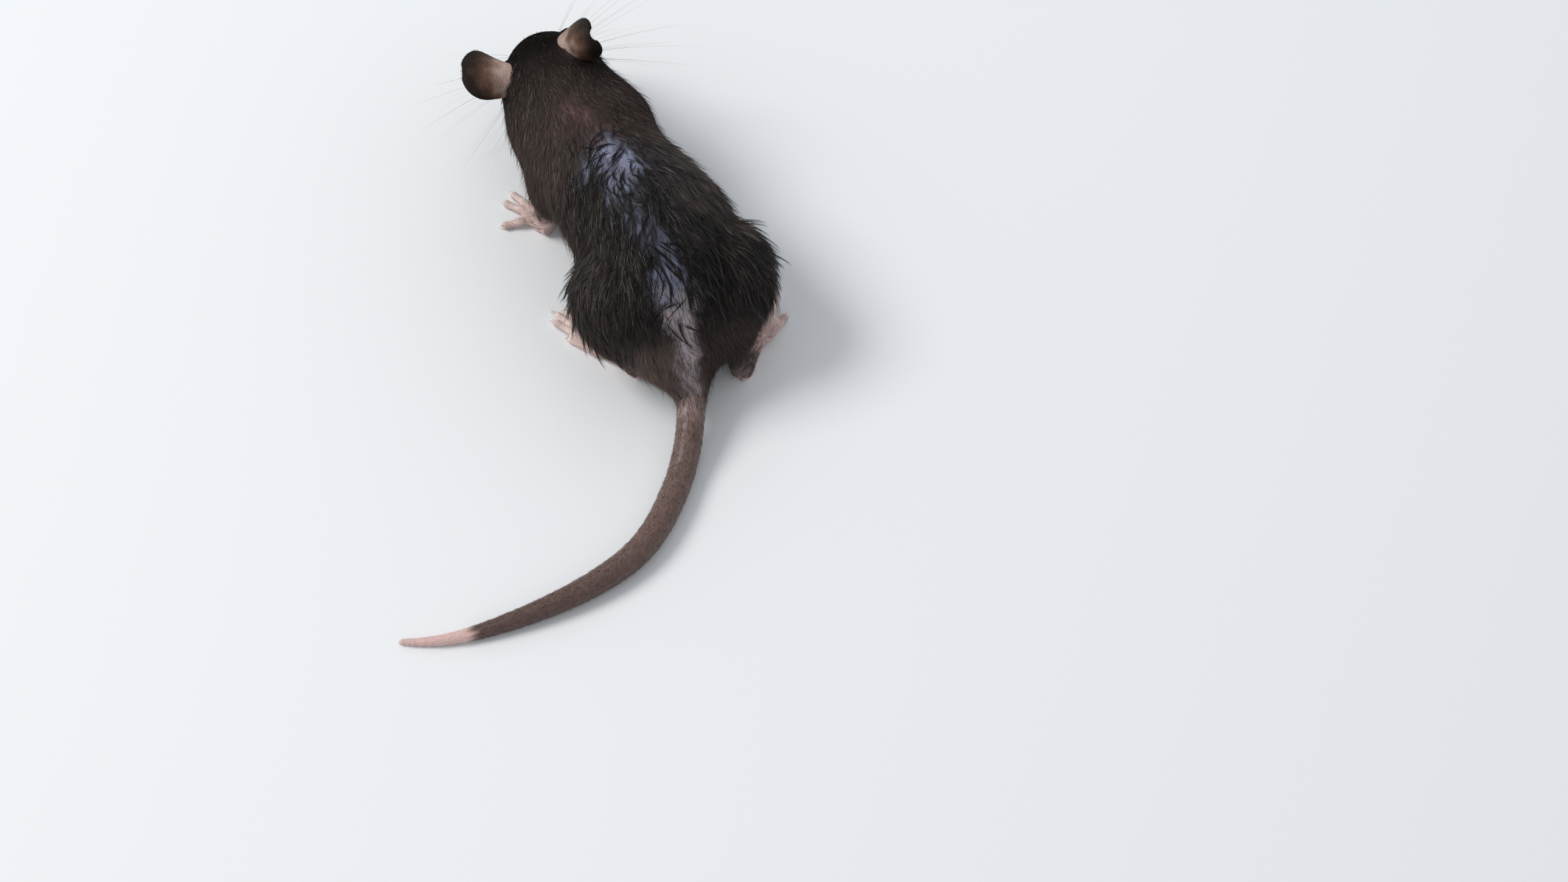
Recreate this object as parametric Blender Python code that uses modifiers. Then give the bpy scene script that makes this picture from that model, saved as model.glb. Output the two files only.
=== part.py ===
"""A young domestic rat, still and life-size, standing with its head lowered and its tail laid on the floor.

The animal faces -Y, its left side is +X and the floor is Z = 0. Sizes below are in millimetres and are turned
to metres when a mesh is made. The solids reach out to the surface of the coat. Trunk, neck and head are one
loft, parted by thin gaps. Legs, ears and eyes are solids of their own, each set in a pocket of the body.
"""

import math

import bmesh
import bpy
import numpy as np
from mathutils import Matrix, Vector

MM = 0.001
GAP = 0.3  # between neighbouring solids
END_SHARE = 0.65  # of the gap, taken off each of two facing ends

# Body rings, from the tail root forwards: (top y, top z), (bottom y, bottom z), centre x, half width.
TRUNK_RINGS = {
    "tail root": ((2.0, 14.3), (1.0, 5.0), 0.3, 4.7),
    "rump": ((-1.2, 21.0), (-2.0, 4.8), -0.4, 9.0),
    "seat": ((-6.0, 30.0), (-7.5, 4.8), -1.8, 13.4),
    "pelvis": ((-13.0, 36.4), (-14.5, 5.0), -3.2, 16.6),
    "loin": ((-22.5, 40.8), (-23.5, 5.4), -4.2, 18.0),
    "belly": ((-33.0, 42.6), (-34.0, 5.4), -4.1, 18.5),
    "ribs": ((-44.5, 42.0), (-45.5, 5.8), -1.9, 17.1),
    "chest": ((-55.0, 40.0), (-57.0, 7.2), 0.4, 15.8),
    "shoulders": ((-65.0, 37.9), (-64.5, 9.6), 0.9, 17.0),
    "neck": ((-75.5, 36.4), (-68.5, 13.4), 2.6, 15.2),
}
PEAR = 0.07  # how much wider the lower half of a body ring is than its upper half
RING_SIDES = 24
RING_STEPS = 2  # loft rings from one named ring to the next
NECK_FROM, NECK_TO = "shoulders", "neck"

# The head, in its own frame: distance forwards from the ears' line, half width, height above, depth below.
HEAD_CENTRE = (3.2, -77.8, 25.4)
HEAD_TURN, HEAD_PITCH, HEAD_ROLL = 13.0, 38.0, 22.0  # degrees to its right, downwards, towards its left ear
HEAD_RINGS = {
    "ears": (0.0, 13.2, 11.6, 10.6),
    "temples": (6.0, 12.2, 11.8, 9.8),
    "eyes": (12.0, 10.2, 9.9, 8.4),
    "whisker pads": (18.0, 7.6, 7.0, 6.6),
    "muzzle": (22.8, 5.6, 4.6, 4.8),
    "nose": (26.2, 3.3, 2.6, 2.8),
    "nose tip": (27.8, 1.2, 1.0, 1.0),
}

EYE_RADIUS = 2.6
EYE_PLACE = (12.6, 8.0, 3.8)  # forwards, sideways, up in the head's frame

EAR_LENGTH, EAR_HALF_ARC, EAR_ROOT_ARC, EAR_WALL = 12.6, 6.6, 5.2, 0.7
EAR_STANDS_OFF = 0.3  # from the middle of its root to the foot of its shell
EAR_SET_BACK = 2.35  # from the ear's axis to the back of its shell
EAR_WIDEST = 0.58  # share of its length
EAR_ROOT_WRAP = 1.45  # radians that each half of the shell is rolled through at its foot
EAR_HOLLOW, EAR_TIP_FORWARDS = 0.5, 0.6  # how the shell bows backwards along it and its tip comes forwards
EAR_ROWS = 9
EAR_ROOT_OUT = 2.6  # from the ear's place to the middle of its fleshy root
EAR_ROOT_RADII = (3.4, 2.8, 3.2)
EAR_PLACE = (-0.6, 7.5, 6.15)  # forwards, sideways, up in the head's frame
# Each ear's axis and the way its cup opens, as forwards, sideways and up in the head's frame, then how far
# each half is rolled at the tip, in radians. The right ear is furled tighter.
EARS = {
    "left": (1, (-0.20, 0.76, 0.615), (0.50, 0.86, -0.09), 0.45),
    "right": (-1, (-0.75, 0.61, 0.24), (0.83, 0.44, -0.32), 1.32),
}

# Hind legs: the haunch and the shank are rounded forms over the foot.
HAUNCHES = {
    "left": ((9.6, -19.0, 19.4), (10.8, 14.2, 14.2), 14.0),
    "right": ((-16.6, -16.4, 18.8), (10.6, 14.0, 14.8), -22.0),
}
SHANKS = {
    "left": ((8.6, -16.4, 9.6), (5.0, 11.8, 6.6), 12.0),
    "right": ((-16.0, -10.6, 9.4), (5.6, 11.4, 6.6), -34.0),
}
FORELEGS = {
    "left": ((10.6, -57.0, 16.6), (7.8, 8.6, 11.4), 8.0),
    "right": ((-9.6, -58.6, 16.6), (7.6, 8.6, 11.4), -8.0),
}

# Feet: (heel x, heel y), heading outwards from -Y in degrees, turn of all the toes from it, their splay.
HIND_FEET = {"left": ((7.2, -10.8), 30.0, 0.0, 0.15), "right": ((-12.6, -1.6), -43.0, -24.0, 1.2)}
FORE_FEET = {"left": ((13.8, -55.3), 18.0, 0.0, 0.9), "right": ((-12.4, -57.0), -16.0, 0.0, 1.0)}
# Along a foot from its heel: distance, half width, height.
HIND_SOLE = (
    (0.0, 1.6, 3.2),
    (1.6, 2.7, 5.2),
    (6.5, 2.4, 4.8),
    (12.0, 2.8, 3.9),
    (16.5, 3.6, 3.2),
    (18.8, 2.6, 2.4),
)
FORE_SOLE = ((0.0, 1.7, 5.6), (2.6, 2.3, 5.2), (5.6, 2.8, 3.4), (8.0, 2.4, 2.6))
# Toes: distance of the root along the foot, sideways place, turn outwards in degrees, length.
HIND_TOES = (
    (14.0, -2.7, -18.0, 7.0),
    (17.2, -1.7, -7.0, 9.6),
    (17.8, 0.0, 0.0, 10.4),
    (17.2, 1.7, 8.0, 9.9),
    (13.4, 2.8, 30.0, 7.8),
)
FORE_TOES = ((5.6, -1.7, -24.0, 8.0), (7.0, -0.4, 5.0, 8.6), (6.8, 1.0, 20.0, 8.4), (5.2, 2.0, 66.0, 7.6))
TOE_RADIUS = 1.1
# Along a toe: share of its length, then centre height and half thickness as shares of the radius. The last
# part is the claw.
TOE_SHAPE = ((-0.2, 1.5, 0.75), (0.3, 1.65, 0.95), (0.64, 1.0, 1.05), (0.8, 1.0, 0.55), (1.0, 0.45, 0.24))
TOE_SIDES = 6
SOLE_SIDES = 10

# The tail: its heading, in degrees from +Y towards +X, at distances along it.
TAIL_LENGTH = 104.4
TAIL_START = (-1.3, -3.0, 9.9)  # sunk in the rump
TAIL_HEADINGS = (
    (0.0, 16.0),
    (22.0, 36.3),
    (38.0, 48.3),
    (52.0, 74.2),
    (66.0, 85.2),
    (88.0, 95.3),
    (104.4, 117.7),
)
TAIL_ROOT_RADIUS, TAIL_TIP_RADIUS = 3.1, 1.0
TAIL_TAPER_FROM, TAIL_TAPER_POWER = 42.0, 1.6
TAIL_DROP = 25.0  # distance along which the tail comes down to the floor
TAIL_SIDES = 10
TAIL_PIECES = (
    ("tail_root", 0.0, 26.0),
    ("tail_middle", 26.0, 56.0),
    ("tail_outer", 56.0, 84.0),
    ("tail_tip", 84.0, TAIL_LENGTH),
)
TAIL_RING_SPACING = 2.8
FLAT = 0.15  # how far round undersides are cut off to rest on the floor

COAT_BLACK = ((0.017, 0.014, 0.013), 0.65)
SKIN_PINK = ((0.50, 0.33, 0.31), 0.50)
EAR_BROWN = ((0.16, 0.10, 0.075), 0.55)
TAIL_BROWN = ((0.14, 0.09, 0.08), 0.50)
EYE_BLACK = ((0.004, 0.003, 0.003), 0.08)


def clear_scene():
    for obj in list(bpy.data.objects):
        bpy.data.objects.remove(obj, do_unlink=True)


def make_collection(name):
    collection = bpy.data.collections.new(name)
    bpy.context.scene.collection.children.link(collection)
    return collection


def make_material(name, finish):
    colour, roughness = finish
    material = bpy.data.materials.new(name)
    material.use_nodes = True
    shader = material.node_tree.nodes["Principled BSDF"]
    shader.inputs["Base Color"].default_value = (*colour, 1.0)
    shader.inputs["Roughness"].default_value = roughness
    shader.inputs["Metallic"].default_value = 0.0
    return material


def smooth_step(x):
    x = np.clip(x, 0.0, 1.0)
    return x * x * (3.0 - 2.0 * x)


def object_from(name, points, faces):
    """A mesh object from points in millimetres, with its faces turned outwards."""
    mesh = bpy.data.meshes.new(name)
    mesh.from_pydata((np.asarray(points, float) * MM).tolist(), [], faces)
    form = bmesh.new()
    form.from_mesh(mesh)
    bmesh.ops.recalc_face_normals(form, faces=form.faces)
    form.to_mesh(mesh)
    form.free()
    obj = bpy.data.objects.new(name, mesh)
    PARTS.objects.link(obj)
    return obj


def loft(name, rings):
    """Joins rings that have the same number of points, and closes each end with a fan to its middle."""
    count, sides, _ = rings.shape
    points = np.vstack([rings.reshape(-1, 3), rings[0].mean(axis=0), rings[-1].mean(axis=0)])
    faces = []
    for ring in range(count - 1):
        for side in range(sides):
            after = (side + 1) % sides
            low, high = ring * sides, (ring + 1) * sides
            faces.append((low + side, low + after, high + after, high + side))
    for side in range(sides):
        after = (side + 1) % sides
        faces.append((side, after, count * sides))
        faces.append(((count - 1) * sides + after, (count - 1) * sides + side, count * sides + 1))
    return object_from(name, points, faces)


def between_rings(rings, steps):
    """Catmull-Rom curves through matching points of the rings, with the given steps from ring to ring."""
    ends = np.concatenate([2 * rings[:1] - rings[1:2], rings, 2 * rings[-1:] - rings[-2:-1]])
    found = []
    for index in range(1, len(ends) - 2):
        before, first, second, after = ends[index - 1 : index + 3]
        for step in range(steps):
            t = step / steps
            found.append(
                0.5 * (2 * first + (second - before) * t)
                + 0.5 * (2 * before - 5 * first + 4 * second - after) * t**2
                + 0.5 * (3 * first - before - 3 * second + after) * t**3
            )
    return np.array([*found, rings[-1]])


def ring_angles(sides):
    return np.arange(sides) * 2 * math.pi / sides


def body_ring(centre, side, above, below, pear=PEAR):
    """An oval about centre. side is the half width; above and below reach the back and the belly."""
    angle = ring_angles(RING_SIDES)[:, None]
    rise = np.sin(angle)
    height = np.where(rise > 0, rise * above, -rise * below)
    return centre + np.cos(angle) * (1 - pear * rise) * side + height


def trunk_ring(station):
    (top_y, top_z), (bottom_y, bottom_z), x, half_width = station
    top, bottom = np.array([x, top_y, top_z]), np.array([x, bottom_y, bottom_z])
    centre = (top + bottom) / 2
    return body_ring(centre, np.array([half_width, 0, 0]), top - centre, bottom - centre)


def head_axes():
    """The head's forwards, left and up directions, as rows: turned, pitched down, then rolled to its left."""
    turn, pitch, roll = (math.radians(v) for v in (HEAD_TURN, HEAD_PITCH, HEAD_ROLL))
    ahead = np.array([-math.sin(turn), -math.cos(turn), 0])
    level = np.array([math.cos(turn), -math.sin(turn), 0])
    sky = np.array([0, 0, 1.0])
    forwards = math.cos(pitch) * ahead - math.sin(pitch) * sky
    upright = math.sin(pitch) * ahead + math.cos(pitch) * sky
    up = math.cos(roll) * upright + math.sin(roll) * level
    left = math.cos(roll) * level - math.sin(roll) * upright
    return np.array([forwards, left, up])


def in_head(forwards, sideways, up):
    return np.array(HEAD_CENTRE) + np.array([forwards, sideways, up]) @ head_axes()


def head_ring(station):
    distance, half_width, above, below = station
    _, left, up = head_axes()
    return body_ring(in_head(distance, 0, 0), half_width * left, above * up, -below * up)


def pull_back(rings, at_start):
    """Moves an end ring inwards along the loft, so that two neighbours stand a little over a gap apart."""
    rings = rings.copy()
    end, inner = (0, 1) if at_start else (-1, -2)
    way = rings[inner].mean(axis=0) - rings[end].mean(axis=0)
    rings[end] += way / np.linalg.norm(way) * (GAP * END_SHARE)
    return rings


def make_body():
    """Trunk, neck and head: one loft from the tail root to the nose, parted at two of its named rings."""
    named = [trunk_ring(station) for station in TRUNK_RINGS.values()]
    named += [head_ring(station) for station in HEAD_RINGS.values()]
    rings = between_rings(np.array(named), RING_STEPS)
    order = list(TRUNK_RINGS)
    neck_from, neck_to = (order.index(name) * RING_STEPS for name in (NECK_FROM, NECK_TO))
    trunk = loft("trunk", pull_back(rings[: neck_from + 1], at_start=False))
    neck = pull_back(pull_back(rings[neck_from : neck_to + 1], at_start=True), at_start=False)
    head = loft("head", pull_back(rings[neck_to:], at_start=True))
    return trunk, loft("neck", neck), head


def ellipsoid(name, centre, radii, heading, grow=0.0, segments=(18, 10)):
    """A rounded form with its long axis turned outwards from -Y by the heading in degrees."""
    form = bmesh.new()
    bmesh.ops.create_uvsphere(form, u_segments=segments[0], v_segments=segments[1], radius=1.0)
    size = Matrix.Diagonal([(radius + grow) * MM for radius in radii]).to_4x4()
    turn = Matrix.Rotation(math.radians(heading), 4, "Z")
    place = Matrix.Translation(Vector(centre) * MM)
    bmesh.ops.transform(form, matrix=place @ turn @ size, verts=form.verts)
    mesh = bpy.data.meshes.new(name)
    form.to_mesh(mesh)
    form.free()
    obj = bpy.data.objects.new(name, mesh)
    PARTS.objects.link(obj)
    return obj


def apply_modifiers(obj):
    """Gives the object the mesh that its modifiers make."""
    bpy.context.view_layer.update()
    graph = bpy.context.evaluated_depsgraph_get()
    mesh = bpy.data.meshes.new_from_object(obj.evaluated_get(graph))
    obj.modifiers.clear()
    obj.data = mesh


def combine(obj, other, operation):
    """Joins the other solid to this one, or cuts it away, and removes the other."""
    modifier = obj.modifiers.new(operation.lower(), "BOOLEAN")
    modifier.operation = operation
    modifier.solver = "EXACT"
    modifier.object = other
    apply_modifiers(obj)
    bpy.data.objects.remove(other, do_unlink=True)


def swollen(form, grow):
    """A copy of a solid, grown outwards all over."""
    obj = form.copy()
    obj.data = form.data.copy()
    PARTS.objects.link(obj)
    for vertex in obj.data.vertices:
        vertex.co += vertex.normal * grow * MM
    return obj


def foot_axes(heading):
    angle = math.radians(heading)
    ahead = np.array([math.sin(angle), -math.cos(angle), 0])
    sideways = np.array([math.cos(angle), math.sin(angle), 0])
    return ahead, sideways


def sole(name, place, stations, grow=0.0):
    """The foot's body: low arched rings that stand on the floor."""
    heel, heading, _, _ = place
    ahead, sideways = foot_axes(heading)
    angle = ring_angles(SOLE_SIDES)[:, None]
    rings = []
    for distance, half_width, height in stations:
        centre = np.array([*heel, height / 2]) + ahead * distance
        ring = centre + np.cos(angle) * (half_width + grow) * sideways
        rings.append(ring + np.sin(angle) * np.array([0, 0, height / 2 + grow + FLAT]))
    rings = np.array(rings)
    rings[0] -= ahead * grow
    rings[-1] += ahead * grow
    if grow == 0.0:
        rings[:, :, 2] = np.maximum(rings[:, :, 2], 0.0)
    return loft(name, rings)


def toe(name, heel, heading, root, across, turn, length):
    """An arched toe that lands on its pad and ends in a claw."""
    ahead, sideways = foot_axes(heading)
    start = np.array([*heel, 0]) + ahead * root + sideways * across
    ahead, sideways = foot_axes(heading + turn)
    angle = ring_angles(TOE_SIDES)[:, None]
    rings = []
    for share, height, thickness in TOE_SHAPE:
        centre = start + ahead * share * length + np.array([0, 0, height * TOE_RADIUS])
        reach = np.cos(angle) * sideways + np.sin(angle) * np.array([0, 0, 1.0])
        rings.append(centre + reach * thickness * TOE_RADIUS)
    rings = np.array(rings)
    rings[:, :, 2] = np.maximum(rings[:, :, 2], 0.0)
    return loft(name, rings)


def make_foot(name, place, stations, toes):
    heel, heading, swing, splay = place
    side = math.copysign(1, heading)
    foot = sole(name, place, stations)
    for number, (root, across, turn, length) in enumerate(toes):
        outwards = side * (swing + turn * splay)
        digit = toe(f"{name}_toe_{number}", heel, heading, root, side * across, outwards, length)
        combine(foot, digit, "UNION")
    return foot


def make_leg(name, forms, grow):
    """The rounded forms of a leg joined into one solid."""
    (centre, radii, heading), *others = forms
    leg = ellipsoid(name, centre, radii, heading, grow)
    for centre, radii, heading in others:
        combine(leg, ellipsoid(name + "_more", centre, radii, heading, grow, (14, 8)), "UNION")
    return leg


def ear_shell(name, side, axis, opening, tip_wrap):
    """The pinna: an arc across, rolled at its root, whose half length swells, then closes at the tip."""
    axes = head_axes() * np.array([[1], [side], [1]])
    base = in_head(EAR_PLACE[0], side * EAR_PLACE[1], EAR_PLACE[2])
    along = np.array(axis) @ axes
    along /= np.linalg.norm(along)
    across = np.cross(along, np.array(opening) @ axes)
    across /= np.linalg.norm(across)
    front = np.cross(across, along)
    t = np.linspace(0, 1, EAR_ROWS)[:, None]
    opened = np.sin(math.pi / 2 * np.minimum(t / EAR_WIDEST, 1))
    swelling = EAR_ROOT_ARC + (EAR_HALF_ARC - EAR_ROOT_ARC) * opened
    closing = np.clip((t - EAR_WIDEST) / (1.02 - EAR_WIDEST), 0, 1)
    arc = swelling * np.sqrt(1 - closing**2.2)
    wrap = EAR_ROOT_WRAP + (tip_wrap - EAR_ROOT_WRAP) * smooth_step(t * 1.25)
    bend = wrap * np.linspace(-1, 1, EAR_ROWS)[None, :]
    radius = arc / wrap
    bow = EAR_TIP_FORWARDS * t**3 - EAR_HOLLOW * np.sin(math.pi * t) - EAR_SET_BACK
    points = (
        base
        + along * (EAR_STANDS_OFF + t * EAR_LENGTH)[:, :, None]
        + across * (radius * np.sin(bend))[:, :, None]
        + front * (radius * (1 - np.cos(bend)) + bow)[:, :, None]
    )
    rows, columns = points.shape[:2]
    faces = [
        (r * columns + c, r * columns + c + 1, (r + 1) * columns + c + 1, (r + 1) * columns + c)
        for r in range(rows - 1)
        for c in range(columns - 1)
    ]
    ear = object_from(name, points.reshape(-1, 3), faces)
    wall = ear.modifiers.new("wall", "SOLIDIFY")
    wall.thickness = EAR_WALL * MM
    wall.offset = 0.0
    apply_modifiers(ear)
    return ear


def ear_root(name, side, axis, grow=0.0):
    """The fleshy base of an ear, sunk in the head."""
    axes = head_axes() * np.array([[1], [side], [1]])
    along = Vector(np.array(axis) @ axes).normalized()
    centre = Vector(in_head(EAR_PLACE[0], side * EAR_PLACE[1], EAR_PLACE[2])) + along * EAR_ROOT_OUT
    form = bmesh.new()
    bmesh.ops.create_uvsphere(form, u_segments=14, v_segments=8, radius=1.0)
    size = Matrix.Diagonal([(radius + grow) * MM for radius in EAR_ROOT_RADII]).to_4x4()
    turn = along.to_track_quat("Z", "Y").to_matrix().to_4x4()
    bmesh.ops.transform(form, matrix=Matrix.Translation(centre * MM) @ turn @ size, verts=form.verts)
    mesh = bpy.data.meshes.new(name)
    form.to_mesh(mesh)
    form.free()
    obj = bpy.data.objects.new(name, mesh)
    PARTS.objects.link(obj)
    return obj


def tail_points(distances):
    """The tail's middle line: its heading turns smoothly, and it comes down to lie on the floor."""
    fine = np.linspace(0, TAIL_LENGTH, 521)
    knots, headings = np.array(TAIL_HEADINGS).T
    heading = np.radians(np.interp(fine, knots, headings))
    kernel = np.ones(41) / 41
    heading = np.convolve(np.pad(heading, 20, mode="edge"), kernel, "valid")
    step = fine[1] - fine[0]
    x = TAIL_START[0] + np.concatenate([[0], np.cumsum(np.sin(heading[:-1]) * step)])
    y = TAIL_START[1] + np.concatenate([[0], np.cumsum(np.cos(heading[:-1]) * step)])
    rest = tail_radius(fine) - FLAT
    z = rest + (TAIL_START[2] - rest) * (1 - smooth_step(fine / TAIL_DROP))
    return np.stack([np.interp(distances, fine, axis) for axis in (x, y, z)], axis=1)


def tail_radius(distances):
    past = np.clip((distances - TAIL_TAPER_FROM) / (TAIL_LENGTH - TAIL_TAPER_FROM), 0, 1)
    radius = TAIL_TIP_RADIUS + (TAIL_ROOT_RADIUS - TAIL_TIP_RADIUS) * (1 - past**TAIL_TAPER_POWER)
    blunt = np.clip((TAIL_LENGTH - distances) / TAIL_TIP_RADIUS, 0, 1)
    return radius * np.sqrt(np.clip(1 - (1 - blunt) ** 2, 0.06, 1))


def make_tail_piece(name, start, end, grow=0.0):
    first = start + (GAP / 2 if start else 0)
    last = end - (GAP / 2 if end < TAIL_LENGTH else 0)
    count = int((last - first) / TAIL_RING_SPACING) + 2
    distances = np.linspace(first, last, count)
    if end == TAIL_LENGTH:
        blunt = [last - 0.7 * TAIL_TIP_RADIUS, last - 0.25 * TAIL_TIP_RADIUS, last]
        distances = np.concatenate([distances[:-1], blunt])
    centres = tail_points(distances)
    inside = np.clip(distances, 0.1, TAIL_LENGTH - 0.1)
    ways = tail_points(inside + 0.1) - tail_points(inside - 0.1)
    ways /= np.linalg.norm(ways, axis=1)[:, None]
    level = np.cross(ways, [0, 0, 1.0])
    level /= np.linalg.norm(level, axis=1)[:, None]
    up = np.cross(level, ways)
    angle = ring_angles(TAIL_SIDES)[None, :, None]
    reach = np.cos(angle) * level[:, None] + np.sin(angle) * up[:, None]
    rings = centres[:, None] + reach * (tail_radius(distances)[:, None, None] + grow)
    rings[0] -= ways[0] * grow
    if grow == 0.0:
        rings[:, :, 2] = np.maximum(rings[:, :, 2], 0.0)
    return loft(name, rings)


def centre_on_floor(parts):
    """Parents the parts to one empty, moved so that the middle of their box stands on the origin."""
    corners = np.array([point.co for part in parts for point in part.data.vertices])
    middle = (corners.min(axis=0) + corners.max(axis=0)) / 2
    empty = bpy.data.objects.new("young_rat_frame", None)
    PARTS.objects.link(empty)
    empty.location = (-middle[0], -middle[1], 0.0)
    for part in parts:
        part.parent = empty


def finish_part(obj, material_name, finish):
    obj.data.materials.clear()
    obj.data.materials.append(make_material(material_name, finish))
    obj.data.shade_smooth()
    return obj


def build():
    trunk, neck, head = make_body()
    head_form, neck_form = head.copy(), neck.copy()
    parts = [finish_part(neck, "coat_neck", COAT_BLACK)]
    combine(trunk, make_tail_piece("pocket", *TAIL_PIECES[0][1:], GAP), "DIFFERENCE")
    for side in ("left", "right"):
        hind_forms = (HAUNCHES[side], SHANKS[side])
        combine(trunk, make_leg("pocket", hind_forms, GAP), "DIFFERENCE")
        combine(trunk, make_leg("pocket", (FORELEGS[side],), GAP), "DIFFERENCE")
        combine(neck, make_leg("pocket", (FORELEGS[side],), GAP), "DIFFERENCE")
        hind_leg = make_leg(f"hind_leg_{side}", hind_forms, 0.0)
        foreleg = make_leg(f"foreleg_{side}", (FORELEGS[side],), 0.0)
        for leg, place, stations in (
            (hind_leg, HIND_FEET[side], HIND_SOLE),
            (foreleg, FORE_FEET[side], FORE_SOLE),
        ):
            combine(leg, sole("pocket", place, stations, GAP), "DIFFERENCE")
        combine(trunk, sole("pocket", HIND_FEET[side], HIND_SOLE, GAP), "DIFFERENCE")
        combine(trunk, sole("pocket", FORE_FEET[side], FORE_SOLE, GAP), "DIFFERENCE")
        hind_foot = make_foot(f"hind_foot_{side}", HIND_FEET[side], HIND_SOLE, HIND_TOES)
        fore_foot = make_foot(f"fore_foot_{side}", FORE_FEET[side], FORE_SOLE, FORE_TOES)
        sign, axis, opening, tip_wrap = EARS[side]
        ear = ear_shell(f"ear_{side}", sign, axis, opening, tip_wrap)
        combine(ear, swollen(head_form, GAP), "DIFFERENCE")
        combine(ear, swollen(neck_form, GAP), "DIFFERENCE")
        combine(ear, ear_root("root", sign, axis), "UNION")
        combine(head, ear_root("pocket", sign, axis, GAP), "DIFFERENCE")
        combine(neck, ear_root("pocket", sign, axis, GAP), "DIFFERENCE")
        eye_centre = in_head(EYE_PLACE[0], sign * EYE_PLACE[1], EYE_PLACE[2])
        eye_radii = (EYE_RADIUS,) * 3
        combine(head, ellipsoid("pocket", eye_centre, eye_radii, 0, GAP, (12, 7)), "DIFFERENCE")
        eye = ellipsoid(f"eye_{side}", eye_centre, eye_radii, 0, 0.0, (12, 7))
        parts += [
            finish_part(hind_leg, f"coat_hind_leg_{side}", COAT_BLACK),
            finish_part(foreleg, f"coat_foreleg_{side}", COAT_BLACK),
            finish_part(hind_foot, f"skin_hind_foot_{side}", SKIN_PINK),
            finish_part(fore_foot, f"skin_fore_foot_{side}", SKIN_PINK),
            finish_part(ear, f"skin_ear_{side}", EAR_BROWN),
            finish_part(eye, f"eye_{side}", EYE_BLACK),
        ]
    for form in (head_form, neck_form):
        bpy.data.objects.remove(form)
    parts += [finish_part(trunk, "coat_trunk", COAT_BLACK), finish_part(head, "coat_head", COAT_BLACK)]
    for name, start, end in TAIL_PIECES:
        parts.append(finish_part(make_tail_piece(name, start, end), f"skin_{name}", TAIL_BROWN))
    centre_on_floor(parts)


clear_scene()
PARTS = make_collection("young_rat")
build()
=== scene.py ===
"""A young black rat: one skin over the fixed frame, and a coat of fine tapered hairs that follow its lie.

Sizes are in millimetres in the animal's own frame (it faces -Y, left is +X, the floor is Z = 0) and are moved
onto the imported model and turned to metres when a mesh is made. Every shape is worked out from the values
below by the formulas in the functions, and every colour is mixed from the ones below.
"""

import math

import bpy
import numpy as np
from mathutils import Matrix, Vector
from mathutils.bvhtree import BVHTree
from mathutils.kdtree import KDTree


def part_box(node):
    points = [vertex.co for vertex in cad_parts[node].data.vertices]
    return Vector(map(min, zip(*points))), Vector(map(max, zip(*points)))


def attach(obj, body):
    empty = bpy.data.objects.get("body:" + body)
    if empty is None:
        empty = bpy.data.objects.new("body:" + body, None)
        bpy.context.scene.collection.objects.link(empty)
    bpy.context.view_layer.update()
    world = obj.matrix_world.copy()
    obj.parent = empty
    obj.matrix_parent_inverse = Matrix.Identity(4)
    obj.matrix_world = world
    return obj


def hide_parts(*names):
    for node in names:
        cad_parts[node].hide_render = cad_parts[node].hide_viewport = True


MM = 0.001
X, Y, Z = 0, 1, 2
SKY = np.array([0.0, 0.0, 1.0])
SIDES = (1, -1)  # left and right
BLOCK = 20000  # points worked out at a time

# ---------------------------------------------------------------- sizes: the solids' own, and finer ones

# Body rings, from the tail root forwards: (top y, z), (bottom y, z), centre x, half width.
TRUNK_RINGS = (
    ((2.0, 14.3), (1.0, 5.0), 0.3, 4.7),
    ((-1.2, 21.0), (-2.0, 4.8), -0.4, 9.0),
    ((-6.0, 30.0), (-7.5, 4.8), -1.8, 13.4),
    ((-13.0, 36.4), (-14.5, 5.0), -3.2, 16.6),
    ((-22.5, 40.8), (-23.5, 5.4), -4.2, 18.0),
    ((-33.0, 42.6), (-34.0, 5.4), -4.1, 18.5),
    ((-44.5, 42.0), (-45.5, 5.8), -1.9, 17.1),
    ((-55.0, 40.0), (-57.0, 7.2), 0.4, 15.8),
    ((-65.0, 37.9), (-64.5, 9.6), 0.9, 17.0),
    ((-75.5, 36.4), (-68.5, 13.4), 2.6, 15.2),
)
PEAR = 0.07  # how much narrower a ring is above than below its middle
HEAD_CENTRE = (3.2, -77.8, 25.4)
HEAD_TURN, HEAD_PITCH, HEAD_ROLL = 13.0, 38.0, 22.0
# Along the head: distance forwards from the line of the ears, half width, height above, depth below.
HEAD_RINGS = (
    (0.0, 13.2, 11.6, 10.6),
    (6.0, 12.2, 11.8, 9.8),
    (12.0, 10.2, 9.9, 8.4),
    (18.0, 7.6, 7.0, 6.6),
    (22.8, 5.6, 4.6, 4.8),
    (26.2, 3.3, 2.6, 2.8),
    (27.8, 1.2, 1.0, 1.0),
)
EYE_RADIUS = 2.6
EYE_PLACE = (12.6, 8.0, 3.8)
EYE_LOOKS = (0.28, 0.90, 0.34)  # forwards, outwards, up
LID_OPENING = (0.90, 0.74)  # half angles of the slit, along it and across it, in radians

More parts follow.
